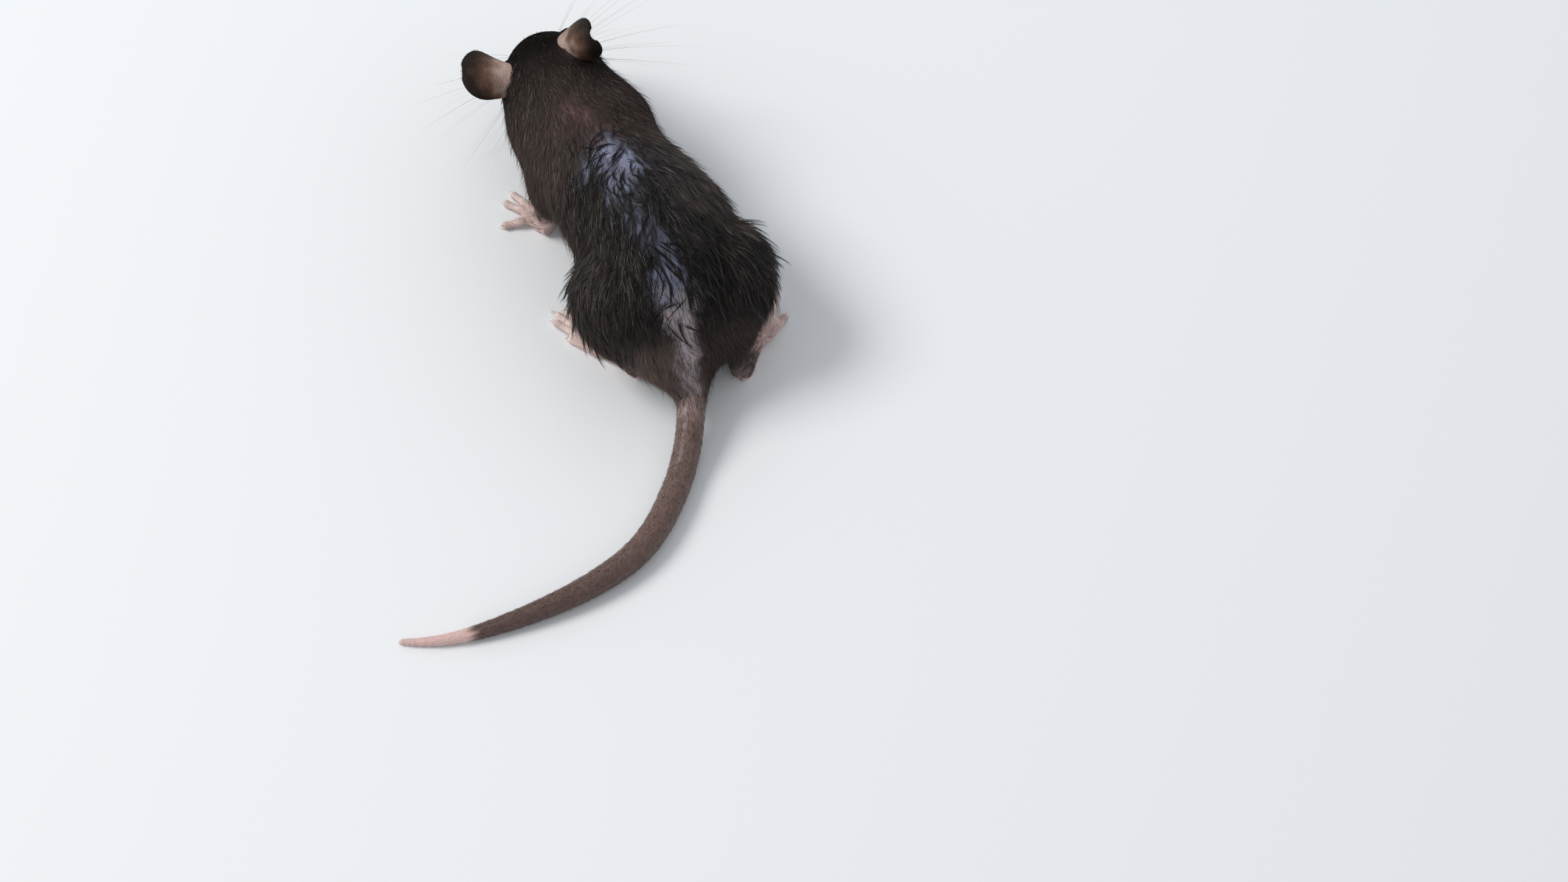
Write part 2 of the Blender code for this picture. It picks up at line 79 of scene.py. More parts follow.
# The pinna: length, half its arc where widest and at the root, wall, distance off the head and behind its
# place, share of the length where it is widest, roll at the root, depth of its hollow, lean of the tip.
EAR_LENGTH, EAR_HALF_ARC, EAR_ROOT_ARC, EAR_WALL = 12.6, 6.6, 5.2, 0.42
EAR_STANDS_OFF, EAR_SET_BACK, EAR_WIDEST = 0.3, 2.35, 0.58
EAR_ROOT_WRAP, EAR_HOLLOW, EAR_TIP_FORWARDS = 1.45, 0.5, 0.6
EAR_ROOT_OUT = 2.6
EAR_PLACE = (-0.6, 7.5, 6.15)
EAR_ROOT_RADII = (3.5, 3.1, 3.0)
# Each ear's ways to its tip and out of its opening, along the head's axes, and how far its tip is rolled up.
EARS = {
    # the left one, and then the right one
    1: ((-0.20, 0.76, 0.615), (0.50, 0.86, -0.09), 0.45),
    -1: ((-0.75, 0.61, 0.24), (0.83, 0.44, -0.32), 1.32),
}
# Rounded forms beside the muzzle and the cheeks, and under the chin: place along the head's axes, radii.
CHEEK_FORMS = (((19.6, 4.0, -0.6), (4.6, 3.2, 3.2)), ((6.0, 6.6, -2.6), (7.5, 5.6, 7.0)))
CHIN_PLACE, CHIN_RADII = (14.0, 0, -4.6), (8.6, 4.6, 4.2)
BODY_GRID, FOOT_GRID = 0.578, 0.25  # the grids that the skins are fused on

# Rounded forms of the legs: centre, radii, turn outwards from -Y in degrees.
LEG_FORMS = {
    "haunch_left": ((9.6, -19.0, 19.4), (10.8, 14.2, 14.2), 14.0),
    "haunch_right": ((-16.6, -16.4, 18.8), (10.6, 14.0, 14.8), -22.0),
    "shank_left": ((8.6, -16.4, 9.6), (5.0, 11.8, 6.6), 12.0),
    "shank_right": ((-16.0, -10.6, 9.4), (5.6, 11.4, 6.6), -34.0),
    "foreleg_left": ((10.6, -57.0, 16.6), (7.8, 8.6, 11.4), 8.0),
    "foreleg_right": ((-9.6, -58.6, 16.6), (7.6, 8.6, 11.4), -8.0),
}
# Feet: heel, heading outwards from -Y in degrees, turn of all the toes from it, their splay.
FEET = {
    "hind_left": ((7.2, -10.8), 30.0, 0.0, 0.15),
    "hind_right": ((-12.6, -1.6), -43.0, -24.0, 1.2),
    "fore_left": ((13.8, -55.3), 18.0, 0.0, 0.9),
    "fore_right": ((-12.4, -57.0), -16.0, 0.0, 1.0),
}
# Along a foot: distance from the heel, half width, height.
HIND_SOLE = (
    (0.0, 1.6, 3.2),
    (1.6, 2.7, 5.2),
    (6.5, 2.4, 4.8),
    (12.0, 2.8, 3.9),
    (16.5, 3.6, 3.2),
    (18.8, 2.6, 2.4),
)
FORE_SOLE = ((0.0, 1.7, 5.6), (2.6, 2.3, 5.2), (5.6, 2.8, 3.4), (8.0, 2.4, 2.6))
SOLE_REST = 0.05  # from the floor to a sole
# The rounded heel and wrist: up, forwards, radii.
HIND_HEEL, FORE_WRIST = (4.6, 1.4, (2.2, 2.2, 3.0)), (5.4, 1.6, (2.2, 2.4, 3.6))
# Pads under a foot: forwards, outwards, radius.
HIND_PADS = (
    (15.6, -2.3, 1.2),
    (18.2, -0.9, 1.2),
    (18.3, 1.0, 1.2),
    (15.4, 2.5, 1.2),
    (9.0, 1.2, 1.2),
    (7.0, -1.2, 1.3),
)
FORE_PADS = ((6.6, -1.2, 1.0), (7.4, 0.3, 1.0), (6.4, 1.6, 1.0), (2.6, -1.0, 1.1), (2.6, 1.1, 1.1))
# Toes: where each starts forwards and outwards, its turn outwards in degrees, its length.
HIND_TOES = (
    (14.0, -2.7, -18.0, 7.0),
    (17.2, -1.7, -7.0, 9.6),
    (17.8, 0.0, 0.0, 10.4),
    (17.2, 1.7, 8.0, 9.9),
    (13.4, 2.8, 30.0, 7.8),
)
FORE_TOES = ((5.6, -1.7, -24.0, 8.0), (7.0, -0.4, 5.0, 8.6), (6.8, 1.0, 20.0, 8.4), (5.2, 2.0, 66.0, 7.6))
TOE_RADIUS = 1.1
# Along a toe: share of its length, height and thickness as shares of TOE_RADIUS.
TOE_STATIONS = (
    (-0.25, 1.3, 0.80),
    (0.0, 1.55, 0.86),
    (0.16, 1.7, 0.84),
    (0.32, 1.55, 0.92),
    (0.46, 1.15, 0.78),
    (0.60, 0.95, 0.76),
    (0.70, 0.92, 0.86),
    (0.78, 0.92, 0.84),
    (0.84, 0.95, 0.45),
)
CLAW_FROM = 0.80  # share of a toe's length

TAIL_LENGTH, TAIL_START = 104.4, (-1.3, -3.0, 9.9)
# Distance from the root and heading there, from backwards to the left in degrees.
TAIL_HEADINGS = (
    (0.0, 16.0),
    (22.0, 36.3),
    (38.0, 48.3),
    (52.0, 74.2),
    (66.0, 85.2),
    (88.0, 95.3),
    (104.4, 117.7),
)
# The tip's radius is smaller than in the solids, and the skin lies inside them.
TAIL_ROOT_RADIUS, TAIL_TIP_RADIUS, TAIL_TAPER_FROM, TAIL_TAPER_POWER = 3.1, 0.62, 42.0, 1.6
TAIL_DROP, FLAT = 25.0, 0.15  # the length in which it sinks to the floor, and how far it is pressed flat
TAIL_CONE_RADIUS = 3.15  # of the rump's cone round the tail's root
SCALE_RING, SCALES_ROUND = 0.37, 34  # from one ring of scales to the next, and scales in a ring
TAIL_SIDES = 26

BODY_COAT_DEPTH, HEAD_COAT_DEPTH = 1.0, 0.6

# Where the coat of the back is thin and the skin shows: x and y, half widths across and along, how thin.
THIN_PLACES = (
    (4.6, -65.5, 5.0, 4.2, 0.40),
    (2.4, -60.0, 5.4, 4.2, 0.46),
    (9.5, -57.0, 4.5, 6.0, 0.32),
    (0.2, -52.5, 5.0, 4.0, 0.52),
    (6.4, -44.5, 3.8, 3.4, 0.80),
    (1.2, -46.0, 4.6, 4.2, 0.88),
    (-3.4, -42.0, 3.4, 4.0, 0.86),
    (2.4, -38.0, 3.8, 4.6, 0.93),
    (1.4, -32.0, 3.1, 4.2, 0.88),
    (0.6, -26.5, 3.2, 3.8, 0.86),
    (-0.8, -20.8, 3.3, 3.9, 0.92),
    (-1.5, -15.2, 4.3, 4.0, 0.96),
    (0.8, -11.0, 4.8, 3.6, 0.95),
    (-1.4, -7.0, 5.2, 3.7, 0.95),
    (-0.8, -3.2, 3.7, 3.1, 0.86),
    (0.0, 0.4, 2.9, 3.0, 0.74),
    (0.6, 4.0, 2.8, 3.6, 0.78),
)

# How the coat lies. At each place: (out from the middle, y, z), (outwards, backwards, up), length, lift
# in degrees.
BODY_LIE = (
    ((0, -72, 36.5), (0.0, 1.0, 0.05), 4.4, 10),
    ((12, -72, 28), (0.15, 0.9, -0.35), 4.2, 12),
    ((3, -60, 39), (0.25, 1.0, 0.0), 4.2, 12),
    ((15, -60, 27), (0.10, 0.75, -0.65), 4.0, 11),
    ((17, -58, 15), (0.05, 0.35, -0.95), 3.6, 8),
    ((12, -57, 7), (0.0, -0.1, -1.0), 2.0, 8),
    ((0, -66, 10), (0.0, 0.8, -0.4), 4.0, 12),
    ((6, -40, 41), (0.35, 0.95, -0.05), 5.0, 11),
    ((16, -40, 26), (0.10, 0.85, -0.5), 4.6, 11),
    ((13, -40, 10), (-0.1, 0.9, -0.4), 4.4, 10),
    ((0, -40, 5.5), (0.0, 1.0, 0.0), 4.5, 8),
    ((6, -22, 40), (0.35, 0.9, -0.2), 5.6, 12),
    ((16, -20, 30), (0.30, 0.8, -0.5), 5.8, 11),
    ((21, -18, 18), (0.05, 0.75, -0.65), 4.8, 12),
    ((16, -30, 10), (0.0, 0.55, -0.8), 4.0, 12),
    ((15, -12, 7), (0.0, 0.75, -0.6), 3.0, 12),
    ((12, -4, 4), (0.0, 0.8, -0.4), 1.8, 12),
    ((4, -8, 31), (0.2, 0.75, -0.65), 5.4, 12),
    ((9, -5, 18), (0.25, 0.85, -0.45), 4.6, 19),
    ((0, 1, 14), (0.0, 1.0, -0.25), 3.4, 14),
    ((0, 0, 5), (0.0, 0.9, 0.1), 3.0, 10),
)
# The same on the head, as forwards, outwards and up.
HEAD_LIE = (
    ((24, 0, 4), (-1.0, 0.0, 0.25), 0.8, 10),
    ((22, 4.5, 0), (-0.9, 0.35, -0.1), 0.9, 12),
    ((19, 6, -2), (-0.85, 0.35, -0.35), 1.3, 13),
    ((20, 0, -5.5), (-1.0, 0.0, -0.15), 1.3, 10),
    ((13, 0, 9.5), (-1.0, 0.0, 0.25), 1.8, 10),
    ((12, 8, 7), (-0.95, 0.2, 0.0), 1.2, 8),
    ((8, 11, -2), (-0.8, 0.25, -0.5), 2.5, 11),
    ((8, 6, -9), (-0.9, 0.2, -0.3), 2.5, 10),
    ((3, 0, 12), (-1.0, 0.0, -0.05), 2.6, 13),
    ((4, 9, 8), (-0.8, 0.35, 0.2), 1.5, 10),
    ((-4, 10, 6), (-0.95, 0.2, -0.25), 3.3, 12),
    ((0, 0, -11), (-1.0, 0.0, 0.1), 3.2, 10),
)

# Where the coat is lighter or darker: by what share, then the borders, as (axis, start, over how far).
# the lighter shoulders are partly painted sheen on the fur
COAT_AND_SHEEN_LEVELS = (
    (0.22, (Y, -44, -10), (X, -6, 12)),  # shoulders
    (1.9, (Y, -12, 6), (Z, 29, -8), (X, -6, 6)),  # beside the tail, on the left
    (1.7, (X, -3, -7), (Y, -17, -8), (Y, -54, 10)),  # right flank
    (0.2, (X, 8, 6), (Y, -34, 8)),  # left hip
    (-0.32, (X, -8, -6), (Y, -30, 8), (Y, -4, -4)),  # right hip
)

# Colours, as sRGB. Those of hairs are given for the root and the tip.
# FUR_PALE_GLINT is the tone of pale hair tips, partly painted highlights on the fur
FUR_ROOT, FUR_TIP, FUR_BROWN, FUR_DAMP, FUR_PALE_GLINT = "1f1b1a", "3a3330", "473d38", "272524", "8b847f"
HEAD_FUR, FACE_FUR, LOCK_ROOT, LOCK_TIP = "120d0b", "352d29", "0b0909", "1a1615"
SKIN_DARK, SKIN_DAMP, SKIN_BLUE, SKIN_NAPE, SKIN_RUMP = "262221", "3b3d46", "777a8e", "7c565a", "a5989c"
EAR_BASE, EAR_MIDDLE, EAR_RIM = "b49a8f", "5e4436", "1f140f"
TAIL_BASE, TAIL_BROWN, TAIL_DARK, TAIL_PINK = "b99f9c", "6c544d", "573f39", "d8b3ae"
FOOT_PINK, FOOT_PALE, FOOT_SOLE = "d2b3ac", "dcc6c0", "c59f98"
SKIN_EAR_ROOT, TAIL_UNDER, FOOT_FURRED = "4d3a35", "8a6f6b", "3b2e2a"
BRISTLE, PALE_BRISTLE, ROOT_FUZZ = ("241c19", "5a4d47"), ("cbb3ac", "f0e8e3"), "9a8580"
FOOT_HAIR, PALE_FOOT_HAIR, EAR_DOWN = ("2b2320", "453a35"), ("a08d83", "d6c9bf"), ("2b211d", "3a2d27")
CLAW, CLAW_DULL, LID, NOSE, MOUTH = "e4dcd5", "c6bbae", "171210", "57403c", "120c0b"
EYE_BLACK, EYE_EDGE, WHISKER, WHISKER_DARK, FLOOR = "030202", "140c09", "cbc6c1", "2a2523", "e6e8ea"
FLESH = (1.0, 0.35, 0.25)  # how far red, green and blue light spread in it

TEARS = {"Specular_IOR_Level": 0.0, "Coat_Weight": 0.7, "Coat_Roughness": 0.03, "Coat_IOR": 1.33}
# Plain finishes: roughness, spread of the tone, size of its noise, other values of the shader.
FINISHES = {
    "fur": (0.6, 0.18, 2.5, {"Specular_IOR_Level": 0.07}),  # fine dry hair, which hardly shines
    "lock": (0.28, 0.18, 2.5, {"Specular_IOR_Level": 0.45}),  # wet hair, with narrow bright streaks
    "tail_bristle": (0.5, 0.18, 2.5, {"Specular_IOR_Level": 0.4}),  # coarse hair, with a dull shine
    "whisker": (0.35, 0.1, 1.0, {}),  # smooth horny hair
    "claw": (0.3, 0.12, 1.0, {}),  # horn, rather glossy
    "lid_rim": (0.45, 0.1, 1.0, {"Specular_IOR_Level": 0.2}),  # dark moist skin
    "mouth_dark": (0.45, 0.1, 1.0, {}),  # moist skin in shade
    "eye": (0.3, 0.1, 1.0, TEARS),  # a black ball, and only the film of tears on it shines
}

COAT_HAIRS, QUICK_COAT_HAIRS, TUFTS = 142000, 44000, 4200
COAT_PIECES = ("face", "crown", "nape", "shoulders", "chest", "ribs", "loins", "haunches", "rump")
GUARD_SHARE = 0.06  # of longer hairs that stand out from the rest
TAIL_HAIRS, TAIL_ROOT_HAIRS, EAR_HAIRS, HIND_FOOT_HAIRS, FORE_FOOT_HAIRS = 5600, 420, 2600, 1500, 700
HAIR_PATCH = 0.003  # on the flat map
# The taper at each ring, and how far each ring and the tip are from the root's tone to the tip's.
SHORT_HAIR = ((1.0, 0.8), (0.0, 0.65, 1.0))
LOCK_STEPS, LOCK_SHAPE = 5, ((0.35, 0.8, 1.0, 0.8, 0.45), (0.0, 0.2, 0.4, 0.6, 0.8, 1.0))
# Damp locks: how many, length, turn from the coat's lie, curl, lift in degrees, strands, their spread at the
# root and radius, colour of the tip, softness.
LOCK_KINDS = {
    "parting": (110, 6.8, 0.55, 1.0, 7.0, 8, 0.24, 0.066, LOCK_ROOT, 0.0),
    "back": (280, 5.4, 0.45, 0.8, 13.0, 7, 0.50, 0.076, LOCK_TIP, 0.3),
    "hips": (200, 6.8, 0.25, 0.4, 17.0, 7, 0.50, 0.076, LOCK_TIP, 0.3),
    "fringe": (80, 6.0, 0.3, 0.5, 32.0, 7, 0.50, 0.076, LOCK_TIP, 0.3),
}

# ---------------------------------------------------------------- camera and floor, and lights in metres

CAMERA_RISE = 60.4  # degrees above the floor
CAMERA_DISTANCE = 993.8  # to the tail's root, along the view
CAMERA_LENS = 100.0
TAIL_ROOT_PLACE = (0.0, 0.0, 9.0)
TAIL_ROOT_IN_VIEW = (-21.5, 13.0)  # right and up from the middle of the view
FLOOR_REACH = 3000.0
# Name, place, size, power in watts, colour.
LIGHTS = (
    ("window", (0.95, -0.62, 1.30), 0.80, 19.0, (1.0, 0.985, 0.96)),
    ("fill", (-0.55, -0.75, 0.70), 0.9, 1.2, (0.92, 0.96, 1.0)),
)


# ---------------------------------------------------------------- small tools


def linear(text):
    """An sRGB colour written as six hex digits, as linear numbers."""
    values = np.array([int(text[i : i + 2], 16) for i in (0, 2, 4)]) / 255
    return np.where(values <= 0.04045, values / 12.92, ((values + 0.055) / 1.055) ** 2.4)


def mixed(first, second, share):
    """A blend of two colours, as numbers or hex digits, by a share for each point."""
    first, second = (linear(some) if isinstance(some, str) else some for some in (first, second))
    return first + (second - first) * np.asarray(share)[..., None]


def smooth_step(x):
    """0 up to 0, 1 from 1 on, and 3x^2 - 2x^3 between."""
    x = np.clip(x, 0.0, 1.0)
    return x * x * (3.0 - 2.0 * x)


def within(points, *borders):
    """A product of smooth steps, each (axis, where it starts, over how far): 1 inside all of them."""
    share = 1.0
    for axis, start, over in borders:
        share = share * smooth_step((points[:, axis] - start) / over)
    return share


def unit(vectors):
    """Vectors divided by their lengths."""
    return vectors / np.maximum(np.linalg.norm(vectors, axis=-1, keepdims=True), 1e-9)


def head_axes():
    """The head's forwards, left and up directions, as rows."""
    turn, pitch, roll = (math.radians(v) for v in (HEAD_TURN, HEAD_PITCH, HEAD_ROLL))
    ahead = np.array([-math.sin(turn), -math.cos(turn), 0])
    level = np.array([math.cos(turn), -math.sin(turn), 0])
    forwards = math.cos(pitch) * ahead - math.sin(pitch) * SKY
    upright = math.sin(pitch) * ahead + math.cos(pitch) * SKY
    up = math.cos(roll) * upright + math.sin(roll) * level
    left = math.cos(roll) * level - math.sin(roll) * upright
    return np.array([forwards, left, up])


HEAD = head_axes()


def in_head(forwards, sideways, up):
    """Places given along the head's axes, from the middle of the line of the ears."""
    return np.array(HEAD_CENTRE) + np.stack(np.broadcast_arrays(forwards, sideways, up), -1) @ HEAD


def beside_head(place, side):
    """A place beside the head: on its left where side is 1, and mirrored to its right where side is -1."""
    return in_head(place[0], side * place[1], place[2])


def mirrored(side):
    """The head's axes as rows, with the second one pointing to the given side."""
    return HEAD * np.array([[1], [side], [1]])


def ahead_of_ears(points):
    """How far points lie in front of the line of the ears, along the head."""
    return (points - np.array(HEAD_CENTRE)) @ HEAD[0]


def middle_x(y):
    """Where the trunk's middle lies across, at places along it."""
    return np.interp(-y, *zip(*[(-ring[0][0], ring[2]) for ring in TRUNK_RINGS]))


def noise(points, size, seed):
    """Smooth noise from -1 to 1: a sum of sine waves in many directions."""
    rng = np.random.default_rng(seed)
    total = 0
    for _ in range(7):
        way = unit(rng.normal(size=3)) * 2 * math.pi / (size * rng.uniform(0.7, 1.6))
        total = total + np.sin(points @ way + rng.uniform(0, 6.28))
    return total / 3.2


def in_blocks(work, points):
    """Runs work on block after block of the points, to spare memory, and joins each thing it returns."""
    blocks = [work(points[start : start + BLOCK]) for start in range(0, len(points), BLOCK)]
    return [np.concatenate(some) for some in zip(*blocks)]


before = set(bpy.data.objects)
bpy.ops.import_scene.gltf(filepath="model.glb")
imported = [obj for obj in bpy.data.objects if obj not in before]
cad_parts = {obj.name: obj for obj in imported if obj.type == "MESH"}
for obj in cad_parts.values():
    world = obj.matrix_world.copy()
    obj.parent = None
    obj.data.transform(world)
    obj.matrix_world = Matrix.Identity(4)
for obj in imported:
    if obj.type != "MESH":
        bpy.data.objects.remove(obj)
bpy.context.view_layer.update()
eye_low, eye_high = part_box("eye_left")
OFFSET = (np.array(eye_low) + np.array(eye_high)) / 2 / MM - in_head(*EYE_PLACE)
OFFSET[2] = 0.0


def mesh_from(name, points, polygons, colours=None, scales=None):
    """A smooth mesh from millimetre points and triangles or quads, with its colours and scale places."""
    polygons = np.asarray(polygons, int)
    count, corners = polygons.shape
    mesh = bpy.data.meshes.new(name)
    mesh.vertices.add(len(points))
    mesh.vertices.foreach_set("co", ((points + OFFSET) * MM).astype(np.float32).ravel())
    mesh.loops.add(count * corners)
    mesh.loops.foreach_set("vertex_index", polygons.astype(np.int32).ravel())
    mesh.polygons.add(count)
    mesh.polygons.foreach_set("loop_start", (np.arange(count) * corners).astype(np.int32))
    mesh.polygons.foreach_set("use_smooth", np.ones(count, bool))
    mesh.update(calc_edges=True)
    if colours is not None:
        tone = mesh.color_attributes.new("tone", "FLOAT_COLOR", "POINT")
        colours = np.hstack([np.broadcast_to(colours, (len(points), 3)), np.ones((len(points), 1))])
        tone.data.foreach_set("color", colours.astype(np.float32).ravel())
    if scales is not None:
        attribute = mesh.attributes.new("scales", "FLOAT_VECTOR", "POINT")
        attribute.data.foreach_set("vector", scales.astype(np.float32).ravel())
    return mesh


def placed(name, data):
    """A new object in the scene."""
    obj = bpy.data.objects.new(name, data)
    bpy.context.scene.collection.objects.link(obj)
    return obj


def piece(name, mesh, materials):
    """A finished object that rides on the animal."""
    obj = placed(name, mesh)
    for material in materials:
        mesh.materials.append(material)
    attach(obj, "root")
    return obj


# ---------------------------------------------------------------- forms


def joined(parts):
    """Several (points, polygons) as one."""
    points, polygons, start = [], [], 0
    for some_points, some_polygons in parts:
        points.append(some_points)
        polygons.append(some_polygons + start)
        start += len(some_points)
    return np.vstack(points), np.vstack(polygons)


def triangles(quads):
    """Two triangles for each quad."""
    return np.vstack([quads[:, [0, 1, 2]], quads[:, [0, 2, 3]]])


def ring_quads(count, sides):
    """The quads between each ring of points and the next, on a grid that is closed round."""
    ring, side = np.meshgrid(np.arange(count - 1), np.arange(sides), indexing="ij")
    here, after = ring * sides + side, ring * sides + (side + 1) % sides
    return np.stack([here, after, after + sides, here + sides], -1).reshape(-1, 4)


def loft(rings):
    """A closed form through rings of equal count, each end closed by a fan, as triangles."""
    count, sides, _ = rings.shape
    points = np.vstack([rings.reshape(-1, 3), rings[0].mean(axis=0), rings[-1].mean(axis=0)])
    side = np.arange(sides)
    after, last = (side + 1) % sides, (count - 1) * sides
    first_fan = np.stack([after, side, np.full(sides, count * sides)], -1)
    last_fan = np.stack([last + side, last + after, np.full(sides, count * sides + 1)], -1)
    return points, np.vstack([triangles(ring_quads(count, sides)), first_fan, last_fan])


def turns(sides):
    """Even angles round a circle."""
    return np.arange(sides) * 2 * math.pi / sides


def rings_round(centres, across, up, radii, sides):
    """Rings round a path's points: centre + (across cos a + up sin a) radius."""
    angle = turns(sides)[None, :, None]
    ways = np.cos(angle) * across[:, None] + np.sin(angle) * up[:, None]
    return centres[:, None] + ways * radii[:, None, None]


def tube(path, radii, sides=8, closed=False):
    """A round tube: rings square to the path, each turned as little as it can be from the one before."""
    ways = unit(np.roll(path, -1, axis=0) - np.roll(path, 1, axis=0) if closed else np.gradient(path, axis=0))
    across = [unit(np.cross(ways[0], [0.3, 0.2, 0.93]))]
    for way in ways[1:]:
        across.append(unit(across[-1] - way * (across[-1] @ way)))
    rings = rings_round(path, np.array(across), np.cross(ways, across), radii, sides)
    return loft(np.concatenate([rings, rings[:1]]) if closed else rings)


def between_rings(rings, steps):
    """Catmull-Rom curves through matching points of the rings."""
    ends = np.concatenate([2 * rings[:1] - rings[1:2], rings, 2 * rings[-1:] - rings[-2:-1]])
    t = (np.arange(steps) / steps)[:, None, None]
    found = []
    for index in range(1, len(ends) - 2):
        before, first, second, after = ends[index - 1 : index + 3]
        found.append(
            0.5 * (2 * first + (second - before) * t)
            + 0.5 * (2 * before - 5 * first + 4 * second - after) * t**2
            + 0.5 * (3 * first - before - 3 * second + after) * t**3
        )
    return np.concatenate([*found, rings[-1:]])


def body_ring(centre, side, above, below, sides):
    """cos a of the side way, narrower above by PEAR, and sin a of the rise above or the drop below."""
    angle = turns(sides)[:, None]
    rise = np.sin(angle)
    height = np.where(rise > 0, rise * above, -rise * below)
    return centre + np.cos(angle) * (1 - PEAR * rise) * side + height


def body_rings(sides):
    """The rings of the trunk and then of the head."""
    rings = []
    for (top_y, top_z), (bottom_y, bottom_z), x, half_width in TRUNK_RINGS:
        top, bottom = np.array([x, top_y, top_z]), np.array([x, bottom_y, bottom_z])
        middle = (top + bottom) / 2
        rings.append(body_ring(middle, np.array([half_width, 0, 0]), top - middle, bottom - middle, sides))
    _, left, up = HEAD
    for distance, half_width, above, below in HEAD_RINGS:
        centre = in_head(distance, 0, 0)
        rings.append(body_ring(centre, half_width * left, above * up, -below * up, sides))
    return np.array(rings)


def ball(centre, axes, radii, around=28, along=18):
    """A rounded form: (sin t cos p, sin t sin p, cos t) times its radii, along axes given as rows."""
    theta = np.linspace(0, math.pi, along)[1:-1, None]
    phi = turns(around)[None, :]
    local = np.stack([np.sin(theta) * np.cos(phi), np.sin(theta) * np.sin(phi), np.cos(theta) + 0 * phi], -1)
    points, faces = loft(centre + (local * radii) @ np.asarray(axes))
    points[-2:] = centre + (np.array([SKY, -SKY]) * radii) @ np.asarray(axes)
    return points, faces[:, ::-1]


def turned(heading):
    """Axes of a form turned outwards from -Y, as rows: sideways, back, up."""
    angle = math.radians(heading)
    return np.array([[math.cos(angle), math.sin(angle), 0], [-math.sin(angle), math.cos(angle), 0], SKY])


def fused(forms, voxel, rounds):
    """Closed forms made into one skin, remeshed on a fine grid and relaxed. Returns points and triangles."""
    obj = placed("forms", mesh_from("forms", *joined(forms)))
    grid = obj.modifiers.new("grid", "REMESH")
    grid.mode = "VOXEL"
    grid.voxel_size = voxel * MM
    ease = obj.modifiers.new("ease", "SMOOTH")
    ease.factor = 0.5
    ease.iterations = rounds
    made = obj.evaluated_get(bpy.context.evaluated_depsgraph_get()).to_mesh()
    points = np.empty(len(made.vertices) * 3, np.float32)
    made.vertices.foreach_get("co", points)
    made.calc_loop_triangles()
    faces = np.empty(len(made.loop_triangles) * 3, np.int32)
    made.loop_triangles.foreach_get("vertices", faces)
    bpy.data.objects.remove(obj)
    return points.reshape(-1, 3).astype(float) / MM - OFFSET, faces.reshape(-1, 3)


def summed(index, values, count):
    """Adds up the rows of values that have the same index."""
    return np.stack([np.bincount(index, column, count) for column in values.T], axis=1)


def relaxed(points, faces, weight, rounds):
    """Moves each point towards the middle of its neighbours, by its weight, round after round."""
    edges = np.vstack([faces[:, [0, 1]], faces[:, [1, 2]], faces[:, [2, 0]]])
    edges = np.unique(np.sort(edges, axis=1), axis=0)
    a, b = edges.T
    count = len(points)
    degree = np.bincount(edges.ravel(), minlength=count)
    for _ in range(rounds):
        total = summed(a, points[b], count) + summed(b, points[a], count)
        points = points + weight[:, None] * (total / degree[:, None] - points)
    return points


def face_normals(points, faces):
    """(second corner - first) x (third - first), so twice the face's area long."""
    p, q, r = points[faces[:, 0]], points[faces[:, 1]], points[faces[:, 2]]
    return np.cross(q - p, r - p)


def normals_of(points, faces):
    """A normal for each point: the sum of its faces' normals."""
    ways = face_normals(points, faces)
    return unit(sum(summed(faces[:, corner], ways, len(points)) for corner in range(3)))


# ---------------------------------------------------------------- materials


def new_material(name, roughness, **sockets):
    """A material with values for the shader's sockets, which are written with _ for a space."""
    material = bpy.data.materials.new(name)
    material.use_nodes = True
    shader = material.node_tree.nodes["Principled BSDF"]
    shader.inputs["Roughness"].default_value = roughness
    for socket, value in sockets.items():
        shader.inputs[socket.replace("_", " ")].default_value = value
    return material, shader


def node(material, kind, *links, inputs=None, **settings):
    """Adds a node with its settings, its inputs' values and its links: (node, its output, input here)."""
    made = material.node_tree.nodes.new("ShaderNode" + kind)
    for key, value in settings.items():
        setattr(made, key, value)
    for key, value in (inputs or {}).items():
        made.inputs[key].default_value = value
    for source, output, target in links:
        material.node_tree.links.new(source.outputs[output], made.inputs[target])
    return made


def toned(material, shader, spread, size):
    """Base colour from the mesh's own tone, times 1 - spread to 1 + spread in noise of a size in mm."""
    tone = node(material, "Attribute", attribute_name="tone")
    place = node(material, "TexCoord")
    fine = {"Scale": 1 / (size * MM), "Detail": 4.0, "Roughness": 0.6}
    grain = node(material, "TexNoise", (place, "Object", "Vector"), inputs=fine)
    ends = {"From Min": 0.25, "From Max": 0.75, "To Min": 1 - spread, "To Max": 1 + spread}
    level = node(material, "MapRange", (grain, "Fac", "Value"), inputs=ends)
    varied = node(material, "VectorMath", (tone, "Color", 0), (level, "Result", 1), operation="MULTIPLY")
    material.node_tree.links.new(varied.outputs["Vector"], shader.inputs["Base Color"])
    return place, grain


def bumped(material, shader, height, strength, distance):
    """Relief from a (node, its output), by a strength and a height in mm."""
    values = {"Strength": strength, "Distance": distance * MM}
    bump = node(material, "Bump", (*height, "Height"), inputs=values)
    material.node_tree.links.new(bump.outputs["Normal"], shader.inputs["Normal"])


def plain_finish(name):
    """A finish of the table, in the mesh's own tone."""
    roughness, spread, size, sockets = FINISHES[name]
    material, shader = new_material(name, roughness, **sockets)
    toned(material, shader, spread, size)
    return material


